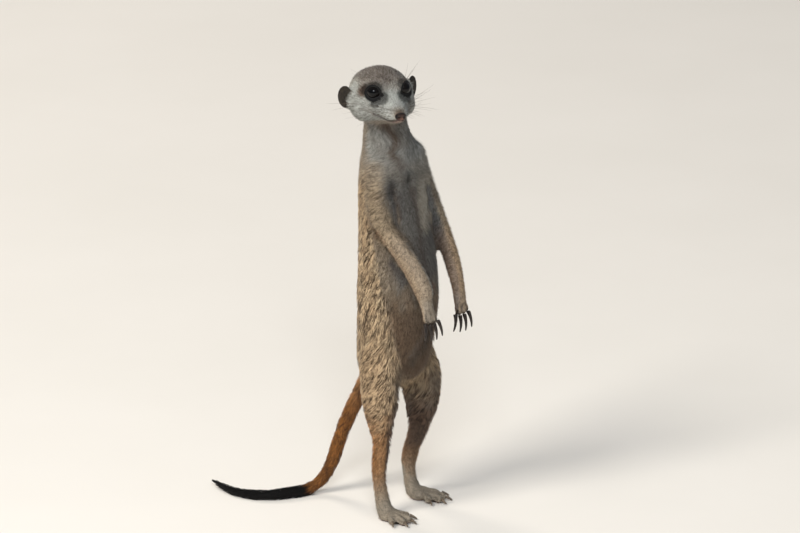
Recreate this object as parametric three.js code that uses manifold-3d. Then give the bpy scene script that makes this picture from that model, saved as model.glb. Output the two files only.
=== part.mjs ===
// A meerkat standing upright on its hind feet, life size, as a museum's still model.
//
// Millimetres, +Z up. The animal faces -Y and its own left side is +X. The numbers below are
// measured from the middle of the two soles, on the floor. The finished group is shifted so that
// its origin is the bottom centre of the whole animal's box.
//
// Every fleshy part is a loft: a spine of stations, each with the half-width to the sides and the
// half-depths to the front and the back, out to the tips of the coat. Long parts are parted by
// planes, and a part that grows out of another one is cut back by that one's surface, so each node
// is a closed solid of its own, with a small gap to its neighbour.

import * as THREE from "three";
import { mergeVertices } from "three/addons/utils/BufferGeometryUtils.js";
import Module from "manifold-3d";

const wasm = await Module();
wasm.setup();

// ---------------------------------------------------------------- driving dimensions

const GAP = 0.3; // clearance between neighbouring solids
const FLOOR = 0;
const LEFT = new THREE.Vector3(1, 0, 0);
const BACK = new THREE.Vector3(0, 1, 0);
const UP = new THREE.Vector3(0, 0, 1);
const SIDES = [
  { name: "right", sign: -1 },
  { name: "left", sign: 1 },
];

// The body twists as it rises: the pelvis faces -Y, the chest and the head turn to its right.
const CHEST_TURN = -14;
const HEAD_TURN = -25;
const PELVIS_LEVEL = 140;
const CHEST_LEVEL = 235;

// Levels at which the trunk is parted into hips, belly, chest and neck.
const HIP_TOP = 132;
const BELLY_TOP = 200;
const CHEST_TOP = 268;

// at: centre; side: half-width; front, back: half-depths.
const TRUNK = [
  { at: [0, 15, 90], side: 20, front: 16, back: 18 },
  { at: [0, 13.5, 104], side: 25, front: 22, back: 26 },
  { at: [0, 12.5, 124], side: 27, front: 28, back: 28 },
  { at: [0, 11.5, 144], side: 28, front: 31.5, back: 28.5 },
  { at: [0, 11, 168], side: 28.5, front: 34, back: 28.5 },
  { at: [0, 11, 197], side: 27.5, front: 31.5, back: 28 },
  { at: [-2, 12, 232], side: 26, front: 25.5, back: 26 },
  { at: [-3.6, 12.6, 256], side: 25, front: 21.5, back: 24 },
  { at: [-5, 12.8, 274], side: 22, front: 18.5, back: 20.5 },
  { at: [-8, 13.4, 288], side: 17.4, front: 17.5, back: 17.5 },
  { at: [-10.6, 13.2, 302], side: 15.6, front: 16.5, back: 16.5 },
  { at: [-13, 12.5, 316], side: 14.6, front: 15, back: 15.5 },
];

// The tail props the body from behind and then lies along the floor.
const TAIL = [
  { at: [0, 28, 112], side: 8, deep: 8 },
  { at: [-2, 37.5, 92], side: 7.6, deep: 7.6 },
  { at: [-7, 49.4, 67], side: 6.1, deep: 6.3 },
  { at: [-10.1, 58.3, 43], side: 5.8, deep: 5.9 },
  { at: [-12.2, 64.3, 23], side: 5.5, deep: 5.6 },
  { at: [-17, 70.8, 9.2], side: 5.2, deep: 5.3 },
  { at: [-27, 75.5, 4.8], side: 5, deep: 4.9 },
  { at: [-40, 81, 4.4], side: 4.8, deep: 4.6 },
  { at: [-55, 91, 4.1], side: 4.4, deep: 4.3 },
  { at: [-63, 111, 3.5], side: 3.7, deep: 3.7 },
  { at: [-58, 143, 4.2], side: 2, deep: 2 },
];
const TAIL_PARTING_LEVEL = 48; // hanging length above, propping length below
const TAIL_PARTING_BACK = 84; // lying length behind this
const TAIL_TIP_BACK = 112;

// Legs, hip to ankle. The coat makes each one a column that narrows to the heel.
const LEGS = {
  right: [
    { at: [-13, 12, 134], side: 12, front: 15, back: 15 },
    { at: [-18, 9, 118], side: 14, front: 17, back: 18 },
    { at: [-22, 6, 100], side: 13, front: 15.5, back: 18 },
    { at: [-25, 4.5, 84], side: 11, front: 13.5, back: 15 },
    { at: [-26.2, 2.8, 69], side: 8.2, front: 9.2, back: 10 },
    { at: [-25.8, 2, 55], side: 7, front: 7.6, back: 8 },
    { at: [-25.3, 4.5, 42], side: 6, front: 6.4, back: 8 },
    { at: [-25, 5, 28], side: 5.4, front: 5.8, back: 6.8 },
    { at: [-24.4, 2.8, 15], side: 5.8, front: 6, back: 7.2 },
    { at: [-24.2, 0.2, 3], side: 6.5, front: 7.2, back: 7.6 },
  ],
  left: [
    { at: [13, 14, 134], side: 12, front: 15, back: 15 },
    { at: [18, 12.5, 118], side: 14, front: 18, back: 18 },
    { at: [22, 10.5, 100], side: 14, front: 19.5, back: 18 },
    { at: [23.8, 8.8, 82], side: 11.8, front: 16, back: 15.5 },
    { at: [24, 8.4, 66], side: 9.2, front: 11.3, back: 11.3 },
    { at: [23.3, 11.5, 50], side: 7.2, front: 8.3, back: 8.5 },
    { at: [22, 16.3, 37], side: 6.5, front: 7.5, back: 8.5 },
    { at: [21.9, 18.6, 22], side: 5.2, front: 5.8, back: 6.4 },
    { at: [22.4, 17, 11], side: 5.6, front: 6, back: 5.6 },
    { at: [23, 14.5, 2], side: 6.5, front: 7, back: 6.2 },
  ],
};
const KNEE_LEVEL = 74;
const HEEL_LEVEL = 40;

// Feet: four toes fan out from the ball of each foot.
const FEET = {
  right: { ball: [-24.8, -3.5, 3.6], turn: -5 },
  left: { ball: [24.5, 9.5, 3.6], turn: 9 },
};
const FOOT_BALL = [9.5, 9, 5.2];
const TOES = [
  { turn: -34, length: 17 },
  { turn: -9, length: 21 },
  { turn: 12, length: 20.5 },
  { turn: 38, length: 16 },
];
const TOE_RADIUS = 3.2;
const TOE_LEVEL = 2.95; // height of a toe's centre at its tip
// Where a toe's stations lie, as shares of its length, and how far each is lifted above the tip.
const TOE_ARCH = [
  { share: 0.1, lift: 1.2 },
  { share: 0.55, lift: 1.6 },
  { share: 1, lift: 0 },
];
const TOE_CLAW = { length: 7.5, radius: 1.25, curl: 38, root: 0.86, lift: 0.5, rise: 0.12 };

// Arms hang relaxed in front of the belly, shoulder to wrist.
const ARMS = {
  right: [
    { at: [-15, 10, 275], side: 9.5, deep: 10 },
    { at: [-20.5, 9, 259], side: 10, deep: 11.5 },
    { at: [-23.5, 7.5, 240], side: 9.8, deep: 11 },
    { at: [-24, 5, 224], side: 8.8, deep: 9.6 },
    { at: [-19.9, -8.2, 209.5], side: 7.9, deep: 8.4 },
    { at: [-17.2, -19.3, 195.5], side: 7.6, deep: 8 },
    { at: [-15.8, -28.1, 181.5], side: 7.4, deep: 7.6 },
    { at: [-15.6, -31.7, 171], side: 7.2, deep: 6.8 },
  ],
  left: [
    { at: [3.5, 8, 281], side: 8, deep: 9 },
    { at: [12, 3.7, 264], side: 9.2, deep: 9.8 },
    { at: [17.2, 1, 248], side: 9, deep: 9.6 },
    { at: [22, -3.5, 230], side: 8, deep: 9 },
    { at: [25.4, -8.5, 214], side: 7.3, deep: 8.2 },
    { at: [26, -15.5, 199], side: 6.6, deep: 7 },
    { at: [25, -22.8, 184], side: 5.9, deep: 6 },
    { at: [23.2, -28, 172], side: 5.6, deep: 5.4 },
    { at: [22.4, -30, 165], side: 5.8, deep: 5 },
  ],
};
const ELBOW_LEVELS = { right: 216, left: 212 };
const WRIST_LEVELS = { right: 175, left: 170 };

// Hands: a palm and four fingers that hang down, with long digging claws.
const HANDS = {
  right: { wrist: [-15.9, -30.9, 172.5], knuckle: [-15.6, -34.6, 162.5], tip: [-16, -37.6, 155], turn: -8 },
  left: { wrist: [22.6, -29.4, 167.5], knuckle: [21.6, -31.8, 159], tip: [20.8, -34, 152], turn: -8 },
};
const PALM = { wristSide: 6.3, wristDeep: 5.1, knuckleSide: 6.6, knuckleDeep: 4 };
const FINGER = { side: 1.93, deep: 2.42, spacing: 3.3, spread: 0.25, root: -0.2 };
const FINGER_LENGTHS = [0.82, 1, 0.98, 0.78];
const HAND_CLAW = { length: 13, radius: 1.35, curl: 44, root: 0.85, lift: 0.45 };

// A claw is narrower than it is deep and keeps a little width at its point.
const CLAW_SHAPE = { steps: 4, taper: 1.4, pointRadius: 0.28, narrow: 0.72 };

// The head has a frame of its own: x to its left, y to the back, z up, turned and set down here.
const HEAD = { at: [-18.3, 9.5, 321.2], turn: HEAD_TURN, pitch: 2 };
// Nose to occiput. up and down are measured from the station's centre.
const HEAD_STATIONS = [
  { at: [0, -36, -7.6], side: 4.6, up: 3.6, down: 4 },
  { at: [0, -32, -7.4], side: 6.8, up: 5.6, down: 5.8 },
  { at: [0, -26, -7], side: 9.8, up: 9, down: 8 },
  { at: [0, -20, -6.8], side: 14.6, up: 13.8, down: 10 },
  { at: [0, -13, -7], side: 20.2, up: 20.4, down: 12 },
  { at: [0, -6, -7.5], side: 23.6, up: 24.4, down: 13.7 },
  { at: [0, 1, -7], side: 24.4, up: 25.8, down: 14.4 },
  { at: [0, 9, -5], side: 23.2, up: 23.8, down: 15 },
  { at: [0, 17, -2], side: 19, up: 18, down: 14 },
  { at: [0, 26, 0.5], side: 11, up: 10, down: 9.5 },
];
const EYE = { at: [12.2, -14, 6.9], radius: 4.9 };
const NOSE = { at: [0, -35, -6.2], size: [4.2, 3.6, 3.4] };
const EAR = { at: [26, 4.6, -0.6], size: [3.2, 6.6, 8.6], flare: 38, lift: 0.6 };
const EAR_HOLLOW = { share: 0.72, out: 2.7, forward: 2.3 };

// ---------------------------------------------------------------- materials

const surface = (color, roughness) => new THREE.MeshStandardMaterial({ color, roughness, metalness: 0 });
const COAT = {
  back: surface("#a08c70", 0.95),
  belly: surface("#8b8478", 0.95),
  face: surface("#bdb6a6", 0.95),
  leg: surface("#a5855a", 0.95),
  paw: surface("#b7a68c", 0.9),
  tail: surface("#a9713a", 0.95),
  tailTip: surface("#1d1714", 0.95),
  ear: surface("#231b19", 0.9),
};
const EYE_SURFACE = surface("#0d0a09", 0.08);
const NOSE_SURFACE = surface("#6b4a44", 0.5);
const CLAW_SURFACE = surface("#1b1717", 0.4);

// ---------------------------------------------------------------- solids

const toSolid = (geometry) => {
  geometry.deleteAttribute("normal");
  geometry.deleteAttribute("uv");
  const merged = mergeVertices(geometry, 1e-4);
  const solid = new wasm.Manifold(
    new wasm.Mesh({
      numProp: 3,
      vertProperties: new Float32Array(merged.attributes.position.array),
      triVerts: new Uint32Array(merged.index.array),
    }),
  );
  return solid;
};

const toGeometry = (solid) => {
  const mesh = solid.getMesh();
  const geometry = new THREE.BufferGeometry();
  geometry.setAttribute("position", new THREE.BufferAttribute(mesh.vertProperties, 3));
  geometry.setIndex(new THREE.BufferAttribute(mesh.triVerts, 1));
  geometry.computeVertexNormals();
  return geometry;
};

const join = (solids) => solids.reduce((whole, solid) => whole.add(solid));

// The largest body of a solid, without any sliver that a cut left loose.
const mainBody = (solid) =>
  solid.decompose().reduce((largest, body) => (body.volume() > largest.volume() ? body : largest));

// Keeps the side of a plane that its normal points to, half a gap back from the plane.
const keepBeyond = (solid, normal, distance) => solid.trimByPlane(normal, distance + GAP / 2);

// Parts a solid at a plane into the part behind it and the part beyond it.
const partAt = (solid, normal, distance) => [
  keepBeyond(solid, normal.map((value) => -value), -distance),
  keepBeyond(solid, normal, distance),
];

const standOnFloor = (solid) => solid.trimByPlane([0, 0, 1], FLOOR);

// ---------------------------------------------------------------- lofts

const degrees = THREE.MathUtils.degToRad;

// Places of a loft's rings along its spine, with how much of the section's size each one has:
// a round end is a quarter of an ellipse, a flat end starts at full size.
function ringPlaces(length, rings, startCap, endCap) {
  const capRings = 2;
  const cap = (depth) =>
    Array.from({ length: capRings }, (_, i) => {
      const angle = (i / capRings) * (Math.PI / 2);
      return { along: depth * (1 - Math.cos(angle)), scale: Math.sin(angle) };
    });
  const start = startCap ? cap(startCap) : [];
  const end = endCap ? cap(endCap).map((p) => ({ along: length - p.along, scale: p.scale })) : [];
  const middle = Array.from({ length: rings + 1 }, (_, i) => ({
    along: startCap + ((length - startCap - endCap) * i) / rings,
    scale: 1,
  }));
  return [...start, ...middle, ...end.reverse()];
}

// A closed solid swept along a spine of stations. sideAt gives the direction of the half-width at
// a point. The sections lie across the spine, or all square to one normal if that is given.
function loft(stations, options) {
  const { rings, segments, startCap = 0, endCap = 0, power = 2, grow = 0 } = options;
  const { normal = null, sideAt = () => LEFT } = options;
  const spine = new THREE.CatmullRomCurve3(stations.map((s) => new THREE.Vector3(...s.at)));
  const sizes = new THREE.CatmullRomCurve3(
    stations.map((s) => new THREE.Vector3(s.side, s.front ?? s.deep ?? s.up, s.back ?? s.deep ?? s.down)),
    false,
    "catmullrom",
  );
  spine.arcLengthDivisions = 400;
  const length = spine.getLength();
  const places = ringPlaces(length, rings, startCap, endCap);
  const points = [];
  const pole = (place) => points.push(spine.getPointAt(THREE.MathUtils.clamp(place.along / length, 0, 1)));
  const rows = [];
  for (const place of places) {
    if (place.scale === 0) {
      continue;
    }
    const along = THREE.MathUtils.clamp(place.along / length, 0, 1);
    const centre = spine.getPointAt(along);
    const size = sizes.getPoint(spine.getUtoTmapping(along)).addScalar(grow);
    const tangent = normal ?? spine.getTangentAt(along);
    const side = sideAt(centre).clone();
    side.addScaledVector(tangent, -side.dot(tangent)).normalize();
    const front = side.clone().cross(tangent);
    rows.push(points.length);
    for (let i = 0; i < segments; i += 1) {
      const angle = (i / segments) * Math.PI * 2;
      const round = (value) => Math.sign(value) * Math.abs(value) ** (2 / power);
      const across = round(Math.cos(angle)) * size.x * place.scale;
      const depth = Math.sin(angle) > 0 ? size.y : size.z;
      const forth = round(Math.sin(angle)) * depth * place.scale;
      points.push(centre.clone().addScaledVector(side, across).addScaledVector(front, forth));
    }
  }
  const startPole = points.length;
  pole(places[0]);
  const endPole = points.length;
  pole(places[places.length - 1]);
  const faces = [];
  const next = (i) => (i + 1) % segments;
  for (let i = 0; i < segments; i += 1) {
    faces.push(startPole, rows[0] + i, rows[0] + next(i));
    const last = rows[rows.length - 1];
    faces.push(endPole, last + next(i), last + i);
    for (let row = 0; row + 1 < rows.length; row += 1) {
      const near = rows[row];
      const far = rows[row + 1];
      faces.push(near + i, far + i, far + next(i), near + i, far + next(i), near + next(i));
    }
  }
  const geometry = new THREE.BufferGeometry().setFromPoints(points);
  geometry.setIndex(faces);
  const solid = toSolid(geometry);
  return solid.volume() < 0 ? toSolid(flipped(geometry)) : solid;
}

const flipped = (geometry) => {
  const turned = geometry.clone();
  const index = Array.from(geometry.index.array);
  for (let i = 0; i < index.length; i += 3) {
    [index[i], index[i + 1]] = [index[i + 1], index[i]];
  }
  turned.setIndex(index);
  return turned;
};

const ellipsoid = (size, matrix, detail = [14, 10], grow = 0) => {
  const [x, y, z] = size.map((value) => value + grow);
  const geometry = new THREE.SphereGeometry(1, detail[0], detail[1]);
  geometry.rotateX(Math.PI / 2);
  geometry.scale(x, y, z);
  return toSolid(geometry.applyMatrix4(matrix));
};

const shiftTo = (at) => new THREE.Matrix4().makeTranslation(...at);
const turnAbout = (at, turn) => shiftTo(at).multiply(new THREE.Matrix4().makeRotationZ(degrees(turn)));

// ---------------------------------------------------------------- trunk, neck and tail

const bodySide = (point) => {
  const rise = THREE.MathUtils.smoothstep(point.z, PELVIS_LEVEL, CHEST_LEVEL);
  return LEFT.clone().applyAxisAngle(UP, degrees(CHEST_TURN) * rise);
};

const makeTrunk = (grow = 0) =>
  loft(TRUNK, { rings: 18, segments: 20, startCap: 14, normal: UP, sideAt: bodySide, grow });

const makeTail = () => loft(TAIL, { rings: 24, segments: 8, endCap: 5 });

// ---------------------------------------------------------------- head

const headMatrix = shiftTo(HEAD.at).multiply(
  new THREE.Matrix4().makeRotationFromEuler(
    new THREE.Euler(degrees(HEAD.pitch), 0, degrees(HEAD.turn), "ZYX"),
  ),
);

const inHead = (solid) => solid.transform(headMatrix.elements);

const makeSkull = (grow = 0) =>
  loft(HEAD_STATIONS, { rings: 14, segments: 22, startCap: 4, endCap: 9, power: 2.25, normal: BACK, grow });

const eyeAt = (sign) => shiftTo([EYE.at[0] * sign, EYE.at[1], EYE.at[2]]);
const makeEye = (sign, grow = 0) =>
  ellipsoid([EYE.radius, EYE.radius, EYE.radius], eyeAt(sign), [12, 8], grow);

const makeNose = (grow = 0) => ellipsoid(NOSE.size, shiftTo(NOSE.at), [10, 6], grow);

// An ear is a small round shell, hollowed towards the front and the side.
function makeEar(sign) {
  const at = shiftTo([EAR.at[0] * sign, EAR.at[1], EAR.at[2] + EAR.lift * sign]);
  at.multiply(new THREE.Matrix4().makeRotationZ(degrees(-EAR.flare * sign)));
  const shell = ellipsoid(EAR.size, at, [10, 8]);
  const hollowAt = at.clone().multiply(shiftTo([EAR_HOLLOW.out * sign, -EAR_HOLLOW.forward, 0]));
  const hollow = ellipsoid(EAR.size.map((value) => value * EAR_HOLLOW.share), hollowAt, [8, 6]);
  return shell.subtract(hollow);
}

// ---------------------------------------------------------------- paws

// A claw is a cone bent along an arc. It starts inside the toe and leaves it along the direction
// given, curling towards the curl direction.
function makeClaw(claw, at, direction, curlTo) {
  const { steps, taper, pointRadius, narrow } = CLAW_SHAPE;
  const stations = [];
  const heading = direction.clone().normalize();
  const axis = heading.clone().cross(curlTo).normalize();
  const point = at.clone();
  for (let i = 0; i <= steps; i += 1) {
    const radius = claw.radius * (1 - (i / steps) ** taper) + pointRadius;
    stations.push({ at: point.toArray(), side: radius * narrow, deep: radius });
    heading.applyAxisAngle(axis, degrees(claw.curl / steps));
    point.addScaledVector(heading, claw.length / steps);
  }
  return loft(stations, { rings: steps, segments: 5, sideAt: () => axis });
}

function makeFoot(sideName, grow = 0) {
  const foot = FEET[sideName];
  const ball = ellipsoid(FOOT_BALL, turnAbout(foot.ball, foot.turn), [10, 6], grow);
  const toes = TOES.map((toe) =>
    loft(
      TOE_ARCH.map(({ share, lift }) => ({
        at: toePoint(foot, toe, share, lift).toArray(),
        side: TOE_RADIUS,
        deep: TOE_RADIUS,
      })),
      { rings: 2, segments: 7, endCap: 2.6, grow, sideAt: () => toeSide(foot, toe) },
    ),
  );
  return join([ball, ...toes]);
}

const toeSide = (foot, toe) =>
  LEFT.clone().applyAxisAngle(UP, degrees(foot.turn + toe.turn));

function toePoint(foot, toe, share, lift) {
  const forward = toeSide(foot, toe).cross(UP);
  const point = new THREE.Vector3(...foot.ball).addScaledVector(forward, toe.length * share);
  point.z = TOE_LEVEL + lift;
  return point;
}

const makeToeClaw = (foot, toe) => {
  const forward = toeSide(foot, toe).cross(UP);
  const start = toePoint(foot, toe, TOE_CLAW.root, TOE_CLAW.lift);
  const direction = forward.clone().setZ(TOE_CLAW.rise);
  return makeClaw(TOE_CLAW, start, direction, UP.clone().negate());
};

function fingerPoint(hand, index, share) {
  const across = LEFT.clone().applyAxisAngle(UP, degrees(hand.turn));
  const knuckle = new THREE.Vector3(...hand.knuckle);
  const reach = new THREE.Vector3(...hand.tip).sub(knuckle).multiplyScalar(FINGER_LENGTHS[index] * share);
  const offset = (index - (FINGER_LENGTHS.length - 1) / 2) * FINGER.spacing;
  return knuckle.add(reach).addScaledVector(across, offset * (1 + FINGER.spread * share));
}

function makeHand(sideName, grow = 0) {
  const hand = HANDS[sideName];
  const across = LEFT.clone().applyAxisAngle(UP, degrees(hand.turn));
  const wrist = ARMS[sideName][ARMS[sideName].length - 2];
  const palm = loft(
    [
      wrist,
      { at: hand.wrist, side: PALM.wristSide, deep: PALM.wristDeep },
      { at: hand.knuckle, side: PALM.knuckleSide, deep: PALM.knuckleDeep },
    ],
    { rings: 4, segments: 10, endCap: 3.2, grow, sideAt: () => across },
  );
  const fingers = FINGER_LENGTHS.map((_, index) =>
    loft(
      [FINGER.root, 0.5, 1].map((share) => ({
        at: fingerPoint(hand, index, share).toArray(),
        side: FINGER.side,
        deep: FINGER.deep,
      })),
      { rings: 2, segments: 6, endCap: 1.8, grow, sideAt: () => across },
    ),
  );
  return join([palm, ...fingers]);
}

const makeHandClaw = (hand, index) => {
  const start = fingerPoint(hand, index, HAND_CLAW.root);
  const direction = fingerPoint(hand, index, 1).sub(start).normalize();
  direction.addScaledVector(BACK, -HAND_CLAW.lift);
  return makeClaw(HAND_CLAW, start, direction, BACK);
};

// ---------------------------------------------------------------- assembly

const meerkat = new THREE.Group();

function addPart(name, solid, material) {
  const mesh = new THREE.Mesh(toGeometry(solid), material);
  mesh.name = name;
  meerkat.add(mesh);
}

function addTrunkAndHead() {
  const [belowChestTop, aboveChestTop] = partAt(makeTrunk(), [0, 0, 1], CHEST_TOP);
  const [belowBellyTop, chest] = partAt(belowChestTop, [0, 0, 1], BELLY_TOP);
  const [hips, belly] = partAt(belowBellyTop, [0, 0, 1], HIP_TOP);
  addPart("hips", hips, COAT.leg);
  addPart("belly", belly, COAT.belly);
  addPart("chest", chest, COAT.back);
  addPart("neck", mainBody(aboveChestTop.subtract(inHead(makeSkull(GAP)))), COAT.face);

  const sockets = join([makeEye(-1, GAP), makeEye(1, GAP), makeNose(GAP)]);
  addPart("head", mainBody(inHead(makeSkull().subtract(sockets))), COAT.face);
  addPart("nose", inHead(makeNose()), NOSE_SURFACE);
  for (const side of SIDES) {
    addPart(`eye_${side.name}`, inHead(makeEye(side.sign)), EYE_SURFACE);
    const ear = mainBody(makeEar(side.sign).subtract(makeSkull(GAP)));
    addPart(`ear_${side.name}`, inHead(ear), COAT.ear);
  }
}

function addTail() {
  const tail = standOnFloor(mainBody(makeTail().subtract(makeTrunk(GAP))));
  const [lower, root] = partAt(tail, [0, 0, 1], TAIL_PARTING_LEVEL);
  const [bend, lying] = partAt(lower, [0, 1, 0], TAIL_PARTING_BACK);
  const [middle, tip] = partAt(lying, [0, 1, 0], TAIL_TIP_BACK);
  addPart("tail_root", root, COAT.tail);
  addPart("tail_bend", bend, COAT.tail);
  addPart("tail_middle", middle, COAT.tailTip);
  addPart("tail_tip", tip, COAT.tailTip);
}

function addArm(side) {
  const hand = HANDS[side.name];
  const arm = loft(ARMS[side.name], { rings: 13, segments: 12, startCap: 9 });
  const [belowElbow, upperArm] = partAt(arm, [0, 0, 1], ELBOW_LEVELS[side.name]);
  const [, forearm] = partAt(belowElbow, [0, 0, 1], WRIST_LEVELS[side.name]);
  const [palm] = partAt(makeHand(side.name), [0, 0, 1], WRIST_LEVELS[side.name]);
  const body = makeTrunk(GAP);
  addPart(`upper_arm_${side.name}`, mainBody(upperArm.subtract(body)), COAT.back);
  addPart(`forearm_${side.name}`, mainBody(forearm.subtract(body)), COAT.leg);
  addPart(`hand_${side.name}`, mainBody(palm), COAT.paw);
  FINGER_LENGTHS.forEach((_, index) => {
    const claw = mainBody(makeHandClaw(hand, index).subtract(makeHand(side.name, GAP)));
    addPart(`hand_claw_${side.name}_${index + 1}`, claw, CLAW_SURFACE);
  });
}

function addLeg(side) {
  const column = loft(LEGS[side.name], { rings: 14, segments: 14, startCap: 10, normal: UP });
  const [belowKnee, thigh] = partAt(column, [0, 0, 1], KNEE_LEVEL);
  const [ankle, shank] = partAt(belowKnee, [0, 0, 1], HEEL_LEVEL);
  addPart(`thigh_${side.name}`, mainBody(thigh.subtract(makeTrunk(GAP))), COAT.leg);
  addPart(`shank_${side.name}`, shank, COAT.leg);
  addPart(`foot_${side.name}`, standOnFloor(ankle.add(makeFoot(side.name))), COAT.paw);
  TOES.forEach((toe, index) => {
    const claw = makeToeClaw(FEET[side.name], toe).subtract(makeFoot(side.name, GAP));
    addPart(`foot_claw_${side.name}_${index + 1}`, mainBody(standOnFloor(claw)), CLAW_SURFACE);
  });
}

addTrunkAndHead();
addTail();
SIDES.forEach(addArm);
SIDES.forEach(addLeg);

const box = new THREE.Box3().setFromObject(meerkat);
meerkat.position.set(-(box.min.x + box.max.x) / 2, -(box.min.y + box.max.y) / 2, -box.min.z);

export default meerkat;
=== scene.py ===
"""A standing meerkat as a still, life-size model: skin, coat, eyes, claws and whiskers.

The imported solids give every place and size. Shapes are worked out in millimetres and written in metres.
The skin is one closed surface grown from the solids of flesh and drawn in by the depth of the coat.
The coat is solid tufts, rooted on the skin, that follow the lie of the hair.
"""

import math

import bmesh
import bpy
import numpy as np
from mathutils import Matrix, Vector
from mathutils.bvhtree import BVHTree


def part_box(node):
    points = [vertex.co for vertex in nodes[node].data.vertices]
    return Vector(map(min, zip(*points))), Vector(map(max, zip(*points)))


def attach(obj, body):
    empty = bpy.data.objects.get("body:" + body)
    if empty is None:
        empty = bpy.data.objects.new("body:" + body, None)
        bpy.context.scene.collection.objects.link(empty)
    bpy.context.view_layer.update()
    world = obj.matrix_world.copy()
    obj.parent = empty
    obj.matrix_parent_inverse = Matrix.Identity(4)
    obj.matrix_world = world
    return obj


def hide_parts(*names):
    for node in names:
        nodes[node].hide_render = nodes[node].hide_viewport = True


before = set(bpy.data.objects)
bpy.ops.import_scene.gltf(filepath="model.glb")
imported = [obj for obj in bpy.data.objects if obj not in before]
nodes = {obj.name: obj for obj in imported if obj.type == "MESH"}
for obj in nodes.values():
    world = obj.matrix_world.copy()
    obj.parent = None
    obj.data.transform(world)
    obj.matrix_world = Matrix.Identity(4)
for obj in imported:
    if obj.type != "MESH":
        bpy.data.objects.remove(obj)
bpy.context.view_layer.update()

MM = 0.001
SIDES = {"right": -1, "left": 1}
rng = np.random.default_rng(20)


# ------------------------------------------------------------------ small maths

def unit(v):
    return v / np.maximum(np.linalg.norm(v, axis=-1, keepdims=True), 1e-9)


def ramp(low, high, x):
    """0 below low, 1 above high, smooth between."""
    t = np.clip((x - low) / (high - low), 0.0, 1.0)
    return t * t * (3.0 - 2.0 * t)


def bell(distance, reach):
    """1 at no distance, fading to almost 0 at the reach."""
    return np.exp(-2.5 * (distance / reach) ** 2)


def tangent(v, normal):
    """The part of v that lies along the surface, one long."""
    return unit(v - (v * normal).sum(-1, keepdims=True) * normal)


def waves(p, scale, seed):
    """Smooth value between -1 and 1 that wanders through space with about this wavelength."""
    local = np.random.default_rng(seed)
    total = np.zeros(len(p))
    for _ in range(7):
        turn = p @ unit(local.normal(size=3)) * (2 * math.pi / scale)
        total += np.sin(turn * local.uniform(0.6, 1.6) + local.uniform(0, 6.28))
    return np.clip(total / 3.2, -1, 1)


def polyline_distance(p, line):
    """How far points are from a line through a few places."""
    best = np.full(len(p), np.inf)
    line = np.asarray(line, float)
    for a, b in zip(line[:-1], line[1:]):
        t = np.clip((p - a) @ (b - a) / max((b - a) @ (b - a), 1e-9), 0, 1)
        best = np.minimum(best, np.linalg.norm(p - a - t[:, None] * (b - a), axis=1))
    return best


def line_gap(p, line):
    """How far points of a surface are from a line that is first laid on to that surface."""
    line = np.asarray(line, float)
    pairs = zip(line[:-1], line[1:])
    steps = [a + share * (b - a) for a, b in pairs for share in (0.0, 0.34, 0.67)] + [line[-1]]
    laid = [p[((p - place) ** 2).sum(1).argmin()] for place in steps]
    return polyline_distance(p, laid)


def place_gap(p, place):
    """How far points of a surface are from the one that is nearest to a place."""
    return np.linalg.norm(p - p[((p - place) ** 2).sum(1).argmin()], axis=1)


# ------------------------------------------------------------------ places from the frame

def node_points(name):
    mesh = nodes[name].data
    flat = np.empty(len(mesh.vertices) * 3, np.float32)
    mesh.vertices.foreach_get("co", flat)
    return flat.reshape(-1, 3).astype(float) / MM


def node_box(name):
    low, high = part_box(name)
    return np.array(low) / MM, np.array(high) / MM


SLAB = 0.08
SLAB_ROWS = 11


def spot(name, axis, share):
    """Middle and mean radius of a node where a thin slab crosses it, at a share of its length on an axis."""
    points = node_points(name)
    a = "xyz".index(axis)
    low, high = points[:, a].min(), points[:, a].max()
    at = low + share * (high - low)
    gap = np.abs(points[:, a] - at)
    gaps = np.unique(gap)
    slab = points[gap <= max(SLAB * (high - low), gaps[min(SLAB_ROWS, len(gaps)) - 1])]
    middle = (slab.min(0) + slab.max(0)) / 2
    middle[a] = at
    size = np.delete(slab.max(0) - slab.min(0), a) / 2
    return middle, float(size.mean())


class Bone:
    """A line of landmarks through a limb, with the limb's radius at each.

    A limb that slants is crossed on the slant by the slabs of spot(), so its radii are made smaller for that.
    """

    def __init__(self, points, radii):
        self.points = np.array(points)
        self.radii = np.array(radii)
        steps = unit(np.diff(self.points, axis=0))
        self.headings = unit(np.vstack([steps[:1], steps[:-1] + steps[1:], steps[-1:]]))

    @classmethod
    def through(cls, *nodes_passed):
        """Each node that the bone passes is given by its name, an axis, and shares of its length along it."""
        spots = [(name, axis, share) for name, axis, *shares in nodes_passed for share in shares]
        found = [spot(*s) for s in spots]
        bone = cls([f[0] for f in found], [f[1] for f in found])
        upright = np.array([abs(heading["xyz".index(s[1])]) for heading, s in zip(bone.headings, spots)])
        bone.radii *= 2 * upright / (1 + upright)
        return bone

    def place(self, p):
        """Landmark number along the bone, distance over radius, heading, and offset from the bone."""
        best = np.full(len(p), np.inf)
        along = np.zeros(len(p))
        offset = np.zeros((len(p), 3))
        for i in range(len(self.points) - 1):
            a, b = self.points[i], self.points[i + 1]
            t = np.clip((p - a) @ (b - a) / ((b - a) @ (b - a)), 0, 1)
            off = p - a - t[:, None] * (b - a)
            ratio = np.linalg.norm(off, axis=1) / (self.radii[i] + t * (self.radii[i + 1] - self.radii[i]))
            closer = ratio < best
            best[closer], along[closer], offset[closer] = ratio[closer], i + t[closer], off[closer]
        marks = np.arange(len(self.points))
        heading = unit(np.stack([np.interp(along, marks, self.headings[:, k]) for k in range(3)], 1))
        return along, best, heading, offset


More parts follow.
